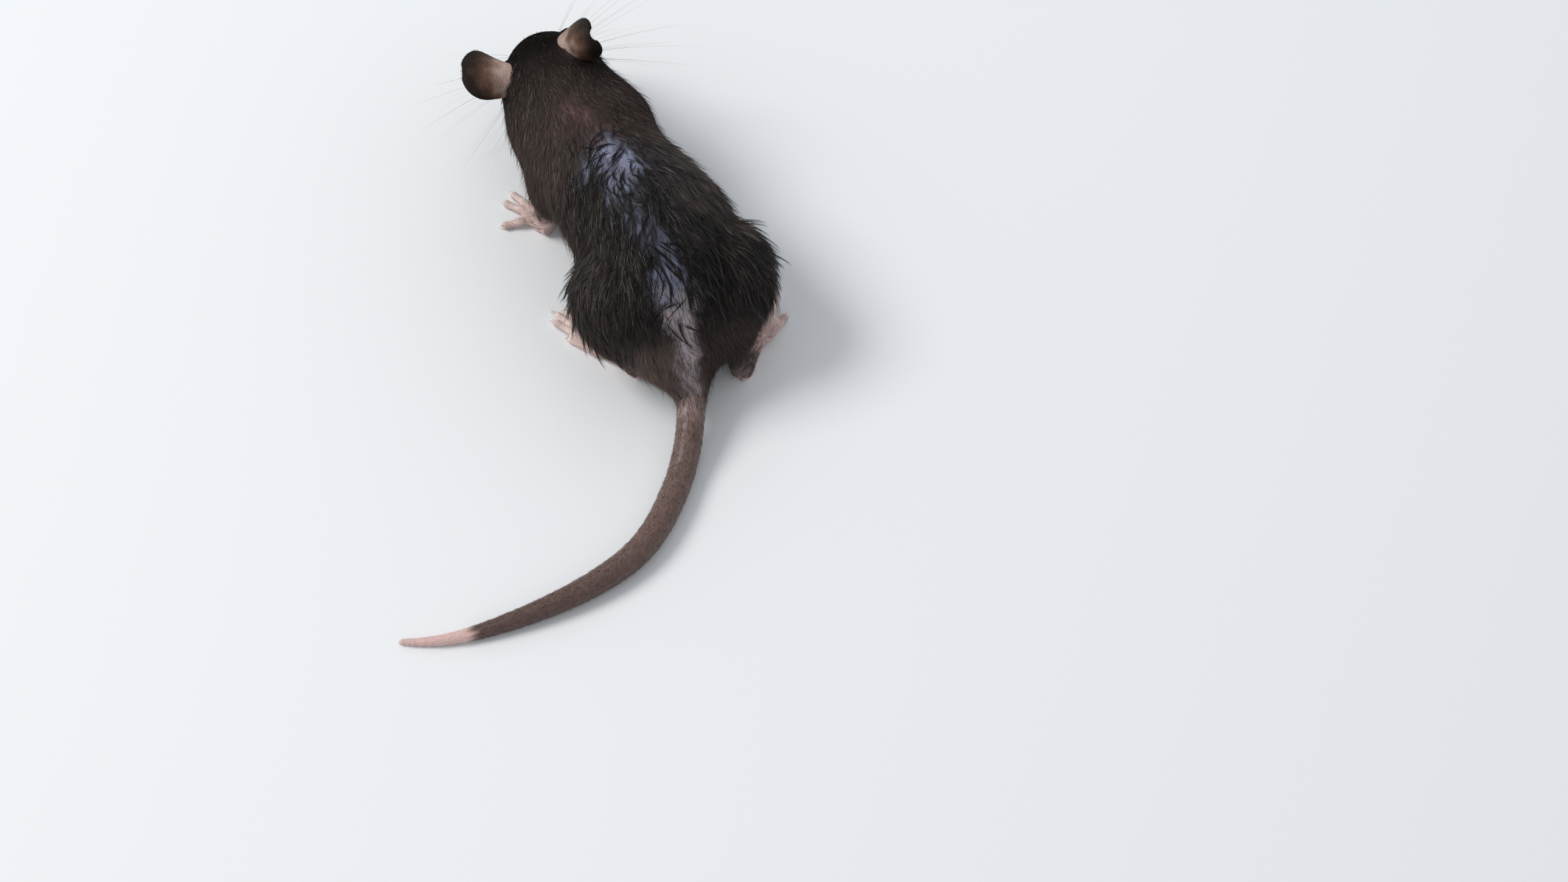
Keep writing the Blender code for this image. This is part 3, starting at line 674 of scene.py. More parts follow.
def coat_skin_material():
    """Skin under a dense coat: matt, and streaked lengthwise like the underfur that covers it."""
    material, shader = new_material("skin_under_coat", 0.7, Specular_IOR_Level=0.2)
    place, _ = toned(material, shader, 0.22, 0.9)
    along = {"Scale": (1.0, 0.22, 1.0)}
    stretched = node(material, "Mapping", (place, "Object", "Vector"), inputs=along)
    # drawn as wide as several hairs, so that it shows
    streaks = {"Scale": 1 / (0.35 * MM), "Detail": 3.0, "Roughness": 0.7}
    strands = node(material, "TexNoise", (stretched, "Vector", "Vector"), inputs=streaks)
    bumped(material, shader, (strands, "Fac"), 0.5, 0.25)
    return material


def bare_skin_material(name, roughness, size, depth, spread, **sockets):
    """Bare skin: light passes a little way into it, and cells of a size in mm stand out between creases."""
    material, shader = new_material(
        name, roughness, Subsurface_Weight=0.12, Subsurface_Scale=0.6 * MM, Subsurface_Radius=FLESH, **sockets
    )
    place, grain = toned(material, shader, spread, 1.2)
    fine, edges = {"Scale": 1 / (size * MM)}, "DISTANCE_TO_EDGE"
    cells = node(material, "TexVoronoi", (place, "Object", "Vector"), feature=edges, inputs=fine)
    ends = {"From Min": 0.0, "From Max": 0.25, "To Min": 0.0, "To Max": 1.0}
    soft = node(material, "MapRange", (cells, "Distance", "Value"), inputs=ends)
    both = node(material, "Math", (soft, "Result", 0), (grain, "Fac", 1), operation="ADD")
    bumped(material, shader, (both, "Value"), 0.55, depth)
    return material


def tail_skin_material():
    """Horny scales in rings, staggered from ring to ring: each catches the light, with dull skin between.

    They lie on the tail's own (around, along) places, drawn a little coarser than real ones so that they
    show. The third number of a place fades them out.
    """
    material, shader = new_material(
        "tail_scales", 0.42, Subsurface_Weight=0.08, Subsurface_Scale=0.5 * MM, Subsurface_Radius=FLESH
    )
    tone = node(material, "Attribute", attribute_name="tone")
    rings = node(material, "Attribute", attribute_name="scales")
    sizes = {"Scale": 1.0, "Brick Width": 1.0, "Row Height": 1.0, "Mortar Size": 0.09, "Mortar Smooth": 0.9}
    # the tiles' tones differ at random, and the lighter ones also stand in for glints: partly painted
    # highlights on the scales
    scale_tones_and_glints = {"Color1": (1.18, 1.17, 1.16, 1), "Color2": (0.88, 0.88, 0.88, 1), "Bias": 0.0}
    tiling = {**sizes, **scale_tones_and_glints, "Mortar": (0.83, 0.81, 0.80, 1)}
    brick = node(material, "TexBrick", (rings, "Vector", "Vector"), offset=0.5, inputs=tiling)
    parts = node(material, "SeparateXYZ", (rings, "Vector", "Vector"))
    links = (parts, "Z", "Factor"), (brick, "Color", 7)
    tiles = node(material, "Mix", *links, data_type="RGBA", inputs={6: (0.97, 0.96, 0.95, 1)})
    shaded = node(material, "VectorMath", (tone, "Color", 0), (tiles, 2, 1), operation="MULTIPLY")
    material.node_tree.links.new(shaded.outputs["Vector"], shader.inputs["Base Color"])
    raised = node(material, "Math", (brick, "Fac", 1), operation="SUBTRACT", inputs={0: 1.0})
    faded = node(material, "Math", (raised, "Value", 0), (parts, "Z", 1), operation="MULTIPLY")
    bumped(material, shader, (faded, "Value"), 0.6, 0.12)
    return material


# ---------------------------------------------------------------- skin


def ear_along(side):
    """The way from an ear's root to its tip."""
    return unit(np.array(EARS[side][0]) @ mirrored(side))


def ear_root(side):
    """The middle of an ear's fleshy root."""
    return beside_head(EAR_PLACE, side) + ear_along(side) * EAR_ROOT_OUT


def eye_centre(side):
    """The middle of an eyeball."""
    return beside_head(EYE_PLACE, side)


def eye_axes(side):
    """The eye's way out, and the ways along and across its slit."""
    out = unit(np.array(EYE_LOOKS) @ mirrored(side))
    along = HEAD[0] * 0.94 - HEAD[2] * 0.34
    along = unit(along - out * (along @ out))
    return out, along, np.cross(out, along)


def nearer(points, place_of):
    """The distance to the nearer of a left and a right place."""
    return np.minimum(*(np.linalg.norm(points - place_of(side), axis=1) for side in SIDES))


def near_ear(points):
    """1 on the fleshy roots of the ears, 0 away from them."""
    return 1 - smooth_step((nearer(points, ear_root) - 3.0) / 1.8)


def add_body_forms():
    """The closed forms that the body's skin is fused from: trunk and head, legs, ear roots, cheeks, tail."""
    forms = [loft(between_rings(body_rings(72), 7))]
    for centre, radii, heading in LEG_FORMS.values():
        forms.append(ball(centre, turned(heading), radii, 40, 26))
    for side in SIDES:
        along = ear_along(side)
        across = unit(np.cross(along, SKY))
        forms.append(ball(ear_root(side), [across, np.cross(along, across), along], EAR_ROOT_RADII))
        for place, radii in CHEEK_FORMS:
            forms.append(ball(beside_head(place, side), HEAD, radii))
        forms.append(ball(eye_centre(side), HEAD, (EYE_RADIUS + 1.0,) * 3, 36, 24))
    forms.append(ball(in_head(*CHIN_PLACE), HEAD, CHIN_RADII))
    distances = np.linspace(0.0, 11.0, 23)
    centres, _, level, up = tail_frame(distances)
    radius = TAIL_CONE_RADIUS + BODY_COAT_DEPTH * 0.8 + 1.7 * (1 - smooth_step(distances / 10))
    forms.append(loft(rings_round(centres, level, up, radius, 36)))
    return forms


def make_body_skin():
    """Trunk, neck, head and legs as one skin, inside the solids by the depth of the coat."""
    points, faces = fused(add_body_forms(), BODY_GRID, 5)
    ahead = ahead_of_ears(points)
    on_head = smooth_step((ahead + 4) / 8) * within(points, (Y, -70, -6))
    points = relaxed(points, faces, 0.5 - 0.47 * on_head, 34)
    depth = BODY_COAT_DEPTH + (HEAD_COAT_DEPTH - BODY_COAT_DEPTH) * on_head
    nose = smooth_step((ahead - 21) / 5) * on_head
    points = points - normals_of(points, faces) * (depth * (1 - 0.7 * nose))[:, None]
    for side in SIDES:
        points = around_eye(points, side)
    points[:, 2] = np.maximum(points[:, 2], 1.2)
    return relaxed(points, faces, 0.3 * smooth_step((nearer(points, eye_centre) - 3.6) / 1.2), 2), faces


def slit_opening(turn):
    """The angle from the eye's way out to its lids, at an angle round it: an ellipse's radius."""
    return 1 / np.sqrt((np.cos(turn) / LID_OPENING[0]) ** 2 + (np.sin(turn) / LID_OPENING[1]) ** 2)


def around_eye(points, side):
    """Opens the skin over the eye's front and lays the rest of it close on the ball, as lids.

    Inside the slit the skin sinks into the ball, and outside it each point moves along its way from the
    eye's middle to a shell just over the ball, less and less with its distance.
    """
    centre = eye_centre(side)
    out, along, across = eye_axes(side)
    offset = points - centre
    distance = np.linalg.norm(offset, axis=1)
    near = distance < 5.2
    way = unit(offset)
    off_axis = np.arccos(np.clip(way @ out, -1, 1))
    opening = slit_opening(np.arctan2(way @ across, way @ along))
    inside = near & (off_axis < opening)
    lid = near & ~inside & (off_axis < 1.9)
    over = smooth_step((off_axis - opening) / 0.9)
    low, high = EYE_RADIUS - 0.6, EYE_RADIUS + 0.30
    edge = smooth_step((off_axis / opening - 0.70) / 0.30)
    target = np.where(inside, low + (high - low) * edge, np.maximum(distance, high + 0.3 * over))
    share = np.where(inside, 1.0, np.where(lid, 1 - smooth_step((distance - 3.8) / 1.4), 0.0))
    return points + (centre + way * target[:, None] - points) * share[:, None]


def lid_ring(side):
    """The rim of the lids: a soft almond loop that lies on the ball. Returns points, triangles, colours."""
    out, along, across = eye_axes(side)
    turn = turns(56)
    opening = slit_opening(turn) * (0.92 + 0.10 * np.abs(np.cos(turn)) ** 6)
    aside = np.cos(turn)[:, None] * along + np.sin(turn)[:, None] * across
    way = np.cos(opening)[:, None] * out + np.sin(opening)[:, None] * aside
    path = eye_centre(side) + way * (EYE_RADIUS + 0.08)
    points, faces = tube(path, np.full(len(path), 0.30), 10, closed=True)
    return points, faces, np.tile(linear(LID), (len(points), 1))


def ear_grid(side, rows, columns):
    """The pinna's middle surface, its normals, and the shares t along and s across it.

    Each row is an arc, its half length swelling from the root and closing as an ellipse at the tip, bent
    round the ear's length by an angle that changes from root to tip.
    """
    _, opening, tip_wrap = EARS[side]
    base, along = beside_head(EAR_PLACE, side), ear_along(side)
    across = unit(np.cross(along, np.array(opening) @ mirrored(side)))
    front = np.cross(across, along)
    t = (np.linspace(0, 1, rows) ** 0.9)[:, None]
    share = np.linspace(-1, 1, columns)[None, :]
    widening = np.sin(math.pi / 2 * np.minimum(t / EAR_WIDEST, 1))
    closing = np.clip((t - EAR_WIDEST) / (1.02 - EAR_WIDEST), 0, 1)
    arc = (EAR_ROOT_ARC + (EAR_HALF_ARC - EAR_ROOT_ARC) * widening) * np.sqrt(1 - closing**2.2)
    wrap = EAR_ROOT_WRAP + (tip_wrap - EAR_ROOT_WRAP) * smooth_step(t * 1.25)
    bend, radius = wrap * share, arc / wrap
    bow = EAR_TIP_FORWARDS * t**3 - EAR_HOLLOW * np.sin(math.pi * t) - EAR_SET_BACK
    fold = 0.16 * np.sin(9 * t + 2.5 * share) * t * (1 - t) * 4 + 0.12 * np.cos(7 * share) * (1 - t)
    points = (
        base
        + along * (EAR_STANDS_OFF + t * EAR_LENGTH - (0.8 + 2.6 * share**4) * (1 - t) ** 4)[:, :, None]
        + across * (radius * np.sin(bend))[:, :, None]
        + front * (radius * (1 - np.cos(bend)) + bow + fold)[:, :, None]
    )
    normal = unit(np.cross(np.gradient(points, axis=0), np.gradient(points, axis=1)))
    facing = np.sign((normal * front).sum(-1).mean())
    return points, normal * facing, t + 0 * share, share + 0 * t


def make_ear(side):
    """A thin cupped shell with a rounded rim: the middle surface moved out by half the wall, both ways.

    Returns points, triangles and colours.
    """
    rows, columns = 34, 36
    middle, normal, t, share = ear_grid(side, rows, columns)
    rim = np.minimum(1 - t, (1 - np.abs(share)) * 0.9)
    half = EAR_WALL / 2 * np.sqrt(np.clip(rim / 0.06, 0.02, 1)) * (1 + 1.1 * (1 - t) ** 3)
    front, back = middle + normal * half[..., None], middle - normal * half[..., None]
    points = np.concatenate([front, back[:, ::-1]], axis=1).reshape(-1, 3)
    sides = 2 * columns
    last = (rows - 1) * sides
    c = np.arange(columns - 1)
    cap = np.stack([last + c, last + c + 1, last + sides - 2 - c, last + sides - 1 - c], -1)
    faces = triangles(np.vstack([ring_quads(rows, sides), cap]))
    if (face_normals(points, faces) * (points[faces[:, 0]] - middle.mean((0, 1)))).sum() < 0:
        faces = faces[:, ::-1]
    where = np.concatenate([t, t[:, ::-1]], axis=1).ravel()
    off = np.abs(np.concatenate([share, share[:, ::-1]], axis=1).ravel())
    streak = noise(points, 3.0, 11 + side)
    brown = smooth_step((where + 0.2 * off + 0.10 * streak - 0.22) / 0.42)
    edge = smooth_step((where + 0.35 * off**2 + 0.06 * streak - 0.58) / 0.34)
    tone = mixed(mixed(EAR_BASE, EAR_MIDDLE, brown), EAR_RIM, edge)
    if side < 0:
        tone = tone * (1 - 0.35 * smooth_step((off - 0.2) / 0.6))[:, None]
    return points, faces, tone


def foot_frame(name):
    """A foot's heel on the floor, its ways sideways and ahead, and whether it is a hind foot."""
    heel, heading, _, _ = FEET[name]
    sideways, back, _ = turned(heading)
    return np.array([*heel, 0.0]), sideways, -back, name.startswith("hind")


def foot_forms(name):
    """The foot's body, its pads and its toes, and for each toe the claw's root, way and length."""
    heel, sideways, ahead, hind = foot_frame(name)
    _, heading, swing, splay = FEET[name]
    side = math.copysign(1, heading)
    angle = turns(24)[:, None]
    rings = []
    for distance, half_width, height in HIND_SOLE if hind else FORE_SOLE:
        across = np.cos(angle) * half_width * sideways * (1 - 0.12 * np.sin(angle))
        upright = height / 2 * SKY + np.sin(angle) * (height / 2 + 0.12) * SKY
        rings.append(heel + ahead * distance + across + upright)
    rings = between_rings(np.array(rings), 5)
    rings[:, :, 2] = np.maximum(rings[:, :, 2], SOLE_REST)
    forms = [loft(rings)]
    up, forwards, radii = HIND_HEEL if hind else FORE_WRIST
    forms.append(ball(heel + up * SKY + ahead * forwards, turned(heading), radii))
    for distance, across, size in HIND_PADS if hind else FORE_PADS:
        centre = heel + 0.8 * SKY + ahead * distance + sideways * side * across
        forms.append(ball(centre, turned(heading), (size, size, 0.75), 16, 10))
    claws = []
    for root, across, turn, length in HIND_TOES if hind else FORE_TOES:
        start = heel + ahead * root + sideways * side * across
        way = -turned(heading + side * (swing + turn * splay))[1]
        share, height, thick = np.array(TOE_STATIONS).T
        path = start + way * (share * length)[:, None] + SKY * (TOE_RADIUS * height)[:, None]
        points, faces = tube(path, TOE_RADIUS * thick, 14)
        points[:, 2] = np.maximum(points[:, 2], SOLE_REST)
        forms.append((points, faces))
        claw_root = start + way * (CLAW_FROM * length) + 1.1 * SKY
        claws.append((claw_root, way, length * 0.2 + (0.3 if hind else -0.1)))
    return forms, claws


def make_foot_skin(name):
    """A foot's fused forms, pink and paler to the toes, darker where hair covers it. With its claws."""
    forms, claws = foot_forms(name)
    points, faces = fused(forms, FOOT_GRID, 4)
    points[:, 2] = np.maximum(points[:, 2], 0.0)
    heel, _, ahead, hind = foot_frame(name)
    along = (points - heel) @ ahead
    tone = mixed(FOOT_PINK, FOOT_PALE, smooth_step((along / (26.0 if hind else 14.0) - 0.45) / 0.5))
    tone = mixed(tone, FOOT_SOLE, 0.7 * within(points, (Z, 0.9, -0.8)))
    patch = smooth_step(0.5 + 0.5 * noise(points, 3.5, 31))
    height = points[:, 2] + 0.8 * noise(points, 2.0, 32)
    if hind:
        furred = smooth_step((9.0 + 1.5 * noise(points, 2.5, 33) - along) / 6.0)
        furred = furred * smooth_step((height - 0.8) / 1.5)
    else:
        furred = smooth_step((height - 5.2) / 3.0)
    tone = mixed(tone * (0.86 + 0.2 * patch)[:, None], FOOT_FURRED, 0.85 * furred)
    return points, faces, tone, claws


def tail_radius(distances):
    """The root's radius, falling by a power of the share past the taper's start, with a round end."""
    past = np.clip((distances - TAIL_TAPER_FROM) / (TAIL_LENGTH - TAIL_TAPER_FROM), 0, 1)
    radius = TAIL_TIP_RADIUS + (TAIL_ROOT_RADIUS - TAIL_TIP_RADIUS) * (1 - past**TAIL_TAPER_POWER)
    blunt = np.clip((TAIL_LENGTH - distances) / TAIL_TIP_RADIUS, 0, 1)
    return radius * np.sqrt(np.clip(1 - (1 - blunt) ** 2, 0.02, 1))


def tail_points(distances):
    """The tail's middle line: short steps along its smoothed headings, sinking to rest on the floor."""
    fine = np.linspace(0, TAIL_LENGTH, 521)
    knots, headings = np.array(TAIL_HEADINGS).T
    heading = np.radians(np.interp(fine, knots, headings))
    heading = np.convolve(np.pad(heading, 20, mode="edge"), np.ones(41) / 41, "valid")
    step = fine[1] - fine[0]
    x = TAIL_START[0] + np.concatenate([[0], np.cumsum(np.sin(heading[:-1]) * step)])
    y = TAIL_START[1] + np.concatenate([[0], np.cumsum(np.cos(heading[:-1]) * step)])
    rest = tail_radius(fine) - FLAT
    z = rest + (TAIL_START[2] - rest) * (1 - smooth_step(fine / TAIL_DROP))
    return np.stack([np.interp(distances, fine, axis) for axis in (x, y, z)], axis=1)


def tail_frame(distances):
    """The tail's middle line, and its ways onwards, level across and up."""
    inside = np.clip(distances, 0.1, TAIL_LENGTH - 0.1)
    ways = unit(tail_points(inside + 0.1) - tail_points(inside - 0.1))
    level = unit(np.cross(ways, SKY))
    return tail_points(distances), ways, level, np.cross(level, ways)


def tail_tone(distances, around):
    """Brown, darker on its upper side and outwards, and pink at the tip with a feathered border."""
    wander = 0.5 * np.sin(3 * around + 1.3) + 0.6 * np.sin(7 * around)
    tone = mixed(TAIL_BASE, TAIL_BROWN, smooth_step((distances - 3.5) / 11))
    tone = mixed(tone, TAIL_DARK, smooth_step((distances - 24) / 50) * 0.85)
    tone = mixed(tone, TAIL_UNDER, 0.5 * smooth_step((-np.sin(around) - 0.2) / 0.8))
    return mixed(tone, TAIL_PINK, smooth_step((distances + wander - (TAIL_LENGTH - 17.6)) / 2.6))


def make_tail_skin():
    """Round rings with two slight waves along them. Returns points, triangles, colours, scale places."""
    end = TAIL_LENGTH - np.array([0.9, 0.7, 0.5, 0.3, 0.15, 0.05])
    distances = np.concatenate([np.arange(0.5, TAIL_LENGTH - 1.0, 0.5), end])
    centres, _, level, up = tail_frame(distances)
    turn = distances * 2 * math.pi
    wave = 1 + 0.006 * np.sin(turn / 3.3) + 0.005 * np.sin(turn / 1.9)
    rings = rings_round(centres, level, up, tail_radius(distances) * wave, TAIL_SIDES)
    rings[:, :, 2] = np.maximum(rings[:, :, 2], 0.0)
    points, faces = loft(rings)
    along = np.concatenate([np.repeat(distances, TAIL_SIDES), distances[[0, -1]]])
    around = np.concatenate([np.tile(turns(TAIL_SIDES), len(distances)), [0, 0]])
    shows = smooth_step((along - 6) / 20) * (1 - 0.8 * smooth_step((along - TAIL_LENGTH + 19.0) / 4))
    scales = np.stack([around / (2 * math.pi) * SCALES_ROUND, along / SCALE_RING, shows], axis=1)
    return points, faces[:, ::-1], tail_tone(along, around), scales


# ---------------------------------------------------------------- where things are on the body


# The body's middle line: its places, its ways onwards, to the left and up, and the distance along it.
CENTRE_LINE = between_rings(body_rings(24), 8)
CENTRE_POINTS = CENTRE_LINE.mean(axis=1)
CENTRE_WAYS = unit(np.gradient(CENTRE_POINTS, axis=0))
CENTRE_SIDES = unit(CENTRE_LINE[:, 0] - CENTRE_LINE[:, 12])
CENTRE_UPS = unit(CENTRE_LINE[:, 6] - CENTRE_LINE[:, 18])
CENTRE_RUN = np.concatenate([[0], np.cumsum(np.linalg.norm(np.diff(CENTRE_POINTS, axis=0), axis=1))])


def body_place(points):
    """Distance along the body from the tail root to the nose, and the angle round it from its left side.

    Each point belongs to the place of the middle line that it lies most squarely beside.
    """
    offset = points[:, None] - CENTRE_POINTS[None]
    aside = np.abs((offset * CENTRE_WAYS).sum(-1)) + 0.25 * np.linalg.norm(offset, axis=-1)
    nearest = aside.argmin(axis=1)
    chosen = offset[np.arange(len(points)), nearest]
    along = CENTRE_RUN[nearest] + (chosen * CENTRE_WAYS[nearest]).sum(-1)
    up, out = ((chosen * ways[nearest]).sum(-1) for ways in (CENTRE_UPS, CENTRE_SIDES))
    return along, np.arctan2(up, out)


def thin_coat(points):
    """How thin the coat is, from 0 to 1: each thin place fades as exp(-reach^1.12), with ragged edges."""
    y, z = points[:, 1], points[:, 2]
    ragged_x = points[:, 0] + 1.1 * noise(points, 5.0, 3) + 0.5 * noise(points, 2.2, 4)
    ragged_y = y + 1.1 * noise(points, 5.0, 14) + 0.5 * noise(points, 2.2, 15)
    covered = np.ones(len(points))
    for place_x, place_y, across, along, thin in THIN_PLACES:
        reach = ((ragged_x - place_x) / across) ** 2 + ((ragged_y - place_y) / along) ** 2
        covered *= 1 - thin * np.exp(-(reach**1.12))
    upper = smooth_step((z - np.interp(y, [-80, -20, -6, 1, 5], [26, 26, 15, 8, 7])) / 5)
    root = 0.88 * smooth_step((y - 3.4 + 0.8 * noise(points, 2.5, 16)) / 2.6)
    return np.maximum((1 - covered) * upper, root)


def damp_coat(points):
    """1 on the middle of the back, where the damp coat gathers in locks and the skin shows between them."""
    aside = np.abs(points[:, 0] - middle_x(points[:, 1]))
    across = smooth_step((12.5 - aside + 3.0 * noise(points, 6.0, 51)) / 5)
    return across * within(points, (Z, 25, 7), (Y, -6, -4), (Y, -52, 7))


def lie_table():
    """Every place of the coat's lie, on both sides: places, directions, lengths and lifts."""
    rows = []
    for (out, y, z), (outwards, back, up), length, lift in BODY_LIE:
        for side in SIDES if out else (1,):
            rows.append(((middle_x(y) + side * out, y, z), (side * outwards, back, up), length, lift))
    for place, way, length, lift in HEAD_LIE:
        for side in SIDES if place[1] else (1,):
            rows.append((beside_head(place, side), np.array(way) @ mirrored(side), length, lift))
    places, ways, lengths, lifts = (np.array(some, float) for some in zip(*rows))
    return places, unit(ways), lengths, lifts


LIE = lie_table()


def lie_near(points):
    """Means over the table's places, weighted by 1 / (distance^2 + 1)^2."""
    places, ways, lengths, lifts = LIE
    near = 1 / (((points[:, None] - places[None]) ** 2).sum(-1) + 1.0) ** 2
    near /= near.sum(axis=1, keepdims=True)
    return near @ ways, near @ lengths, near @ lifts


def lie_at(points):
    """The coat's direction, length and lift at points, from the nearest places of the table."""
    return in_blocks(lie_near, points)


def skin_tone(points):
    """Dark under the coat, lavender grey where it parts, pinkish at the nape and the tail root."""
    y = points[:, 1]
    patchy = noise(points, 4.0, 8)
    bare = linear(SKIN_BLUE) * (1 + 0.16 * patchy)[:, None]
    bare = bare * (1 - 0.5 * within(points, (Y, -38, 6), (Y, -16, -5)))[:, None]
    bare = mixed(bare, SKIN_NAPE, smooth_step((-y - 48 + 2 * patchy) / 9))
    bare = mixed(bare, SKIN_RUMP, smooth_step((y + 14 + 2 * patchy) / 8))
    damp = damp_coat(points)
    under = mixed(SKIN_DARK, FUR_TIP, 0.45 * (1 - damp))
    under = mixed(under, SKIN_DAMP, 0.8 * damp)
    under = mixed(under, HEAD_FUR, smooth_step((ahead_of_ears(points) + 16) / 20))
    tone = mixed(under, bare, smooth_step(thin_coat(points) * 1.35 - 0.12))
    return mixed(tone, SKIN_EAR_ROOT, 0.85 * near_ear(points))


# ---------------------------------------------------------------- hair


def unwrapped(points):
    """Places on a flat map of the skin: body round and along, and a strip of its own for each leg."""
    along, around = in_blocks(body_place, points)
    u = 0.02 + 0.96 * along / CENTRE_RUN[-1]
    v = 0.22 + 0.76 * ((around / (2 * math.pi) + 0.25) % 1.0)
    for index, (name, (centre, radii, heading)) in enumerate(LEG_FORMS.items()):
        local = (points - np.array(centre)) @ turned(heading).T
        reach = np.linalg.norm(local / np.array(radii), axis=1)
        low = (reach < 1.06) & (points[:, 2] < (14.0 if "haunch" in name else 18.0))
        turn = np.arctan2(local[:, 1], local[:, 0]) / (2 * math.pi) % 1.0
        u = np.where(low, 0.01 + (index + 0.03 + 0.9 * turn) / 6 * 0.98, u)
        v = np.where(low, 0.01 + 0.18 * np.clip(points[:, 2] / 22.0, 0, 1), v)
    return np.stack([u, v], axis=1)


def scattered(points, faces, weight, count, rng):
    """Random places over the skin by weighted area: places, their faces and their shares of the corners."""
    p, q, r = points[faces[:, 0]], points[faces[:, 1]], points[faces[:, 2]]
    area = 0.5 * np.linalg.norm(face_normals(points, faces), axis=1)
    total = np.cumsum(area * weight[faces].mean(axis=1))
    pick = (np.arange(count) + rng.random(count)) / count * total[-1]
    face = np.minimum(np.searchsorted(total, pick), len(faces) - 1)
    a, b = rng.random((2, count))
    over = a + b > 1
    a, b = np.where(over, 1 - a, a), np.where(over, 1 - b, b)
    place = p[face] + a[:, None] * (q - p)[face] + b[:, None] * (r - p)[face]
    return place, face, a, b


def on_surface(tree, points):
    """The nearest places of the skin to points, and its normals there."""
    found = [tree.find_nearest(point)[:2] for point in points]
    return np.array([place for place, _ in found]), np.array([normal for _, normal in found])


def along_skin(way, normal):
    """A way without the part of it that leaves the skin."""
    return unit(way - normal * (way * normal).sum(-1, keepdims=True))


def hair_paths(tree, roots, normals, length, lift, swing):
    """Root, middle and tip of each hair: it leans over and follows the skin, swung aside by an angle."""
    way = along_skin(lie_at(roots)[0], normals)
    way = way * np.cos(swing)[:, None] + np.cross(normals, way) * np.sin(swing)[:, None]
    step = (length * 0.5)[:, None]
    middle, at_middle = on_surface(tree, roots + way * step)
    onwards = along_skin(way + 0.25 * lie_at(middle)[0], at_middle)
    tip, at_tip = on_surface(tree, middle + onwards * step)
    rise = np.sin(np.radians(lift))
    middle = middle + at_middle * (length * 0.55 * rise)[:, None]
    tip = tip + at_tip * (length * 0.95 * rise)[:, None]
    return np.stack([roots - normals * 0.15, middle, tip], axis=1)


def short_hairs(roots, ways, normals, length, rises, sunk):
    """Root, middle and tip of straight hairs, raised by shares of their length and sunk in at the root."""
    length = length[:, None]
    middle = roots + ways * (length * 0.5) + normals * (length * rises[0])
    tip = roots + ways * length + normals * (length * rises[1])
    return np.stack([roots - normals * sunk, middle, tip], axis=1)


def gathered(paths, keys, key_paths, share):
    """Draws each hair's middle and tip towards those of its lock."""
    tree = KDTree(len(keys))
    for index, key in enumerate(keys):
        tree.insert(key, index)
    tree.balance()
    aim = key_paths[[tree.find(root)[1] for root in paths[:, 0]]]
    drift = paths[:, 0] - aim[:, 0]
    paths = paths.copy()
    paths[:, 1] += (aim[:, 1] + drift * 0.55 - paths[:, 1]) * (share * 0.8)[:, None]
    paths[:, 2] += (aim[:, 2] + drift * 0.10 - paths[:, 2]) * share[:, None]
    return paths


def hair_piece(name, material, hairs, radius, shape=SHORT_HAIR, soft=0.0):
    """Three-sided tapered hairs as one piece, with each hair's own small patch on the flat map.

    The hairs are their paths, the skin's normals, the tones of root and tip, and places on the flat map.
    The shape is (taper at each ring, how far each ring and the tip are from the root's tone to the tip's).
    A soft coat's hairs are shaded partly with the skin's own normal, by the share `soft`.
    """
    (paths, normals, root_tone, tip_tone, places), (taper, shade) = hairs, shape
    count, knots, _ = paths.shape
    rings = knots - 1
    side = unit(np.cross(unit(paths[:, 1] - paths[:, 0]), normals))
    points = np.empty((count, rings * 3 + 1, 3))
    facing = np.empty((count, rings * 3 + 1, 3))
    for ring in range(rings):
        way = unit(paths[:, ring + 1] - paths[:, max(ring - 1, 0)])
        side = unit(side - way * (side * way).sum(-1, keepdims=True))
        up = np.cross(side, way)
        for corner in range(3):
            angle = 2 * math.pi * corner / 3 + math.pi / 2
            reach = math.cos(angle) * side + math.sin(angle) * up * 0.7
            width = np.broadcast_to(radius * taper[ring], count)[:, None]
            points[:, ring * 3 + corner] = paths[:, ring] + reach * width
            facing[:, ring * 3 + corner] = unit(reach) * (1 - soft) + normals * soft
    points[:, -1] = paths[:, -1]
    facing[:, -1] = way * (1 - soft) + normals * soft
    pattern = []
    for corner in range(3):
        after = (corner + 1) % 3
        for low in range(0, (rings - 1) * 3, 3):
            here, onwards = low + corner, low + 3
            pattern += [(low + after, here, onwards + after), (onwards + after, here, onwards + corner)]
        pattern.append((rings * 3 - 3 + after, rings * 3 - 3 + corner, rings * 3))
    faces = (np.arange(count)[:, None, None] * (rings * 3 + 1) + np.array(pattern)[None]).reshape(-1, 3)
    share = np.append(np.repeat(shade[:-1], 3), shade[-1])
    colours = root_tone[:, None] + (tip_tone - root_tone)[:, None] * share[None, :, None]
    mesh = mesh_from(name, points.reshape(-1, 3), faces, colours.reshape(-1, 3))
    patch = [(corner / 2, ring / rings) for ring in range(rings) for corner in range(3)] + [(0.5, 1.0)]
    corners = np.clip(places[:, None] + HAIR_PATCH * (np.array(patch)[None] - 0.5), 0, 1)
    layer = mesh.uv_layers.new(name="OFBake")
    layer.data.foreach_set("uv", corners.reshape(-1, 2)[faces.ravel()].astype(np.float32).ravel())
    if soft:
        mesh.normals_split_custom_set_from_vertices(unit(facing.reshape(-1, 3)).tolist())
    piece(name, mesh, [material])


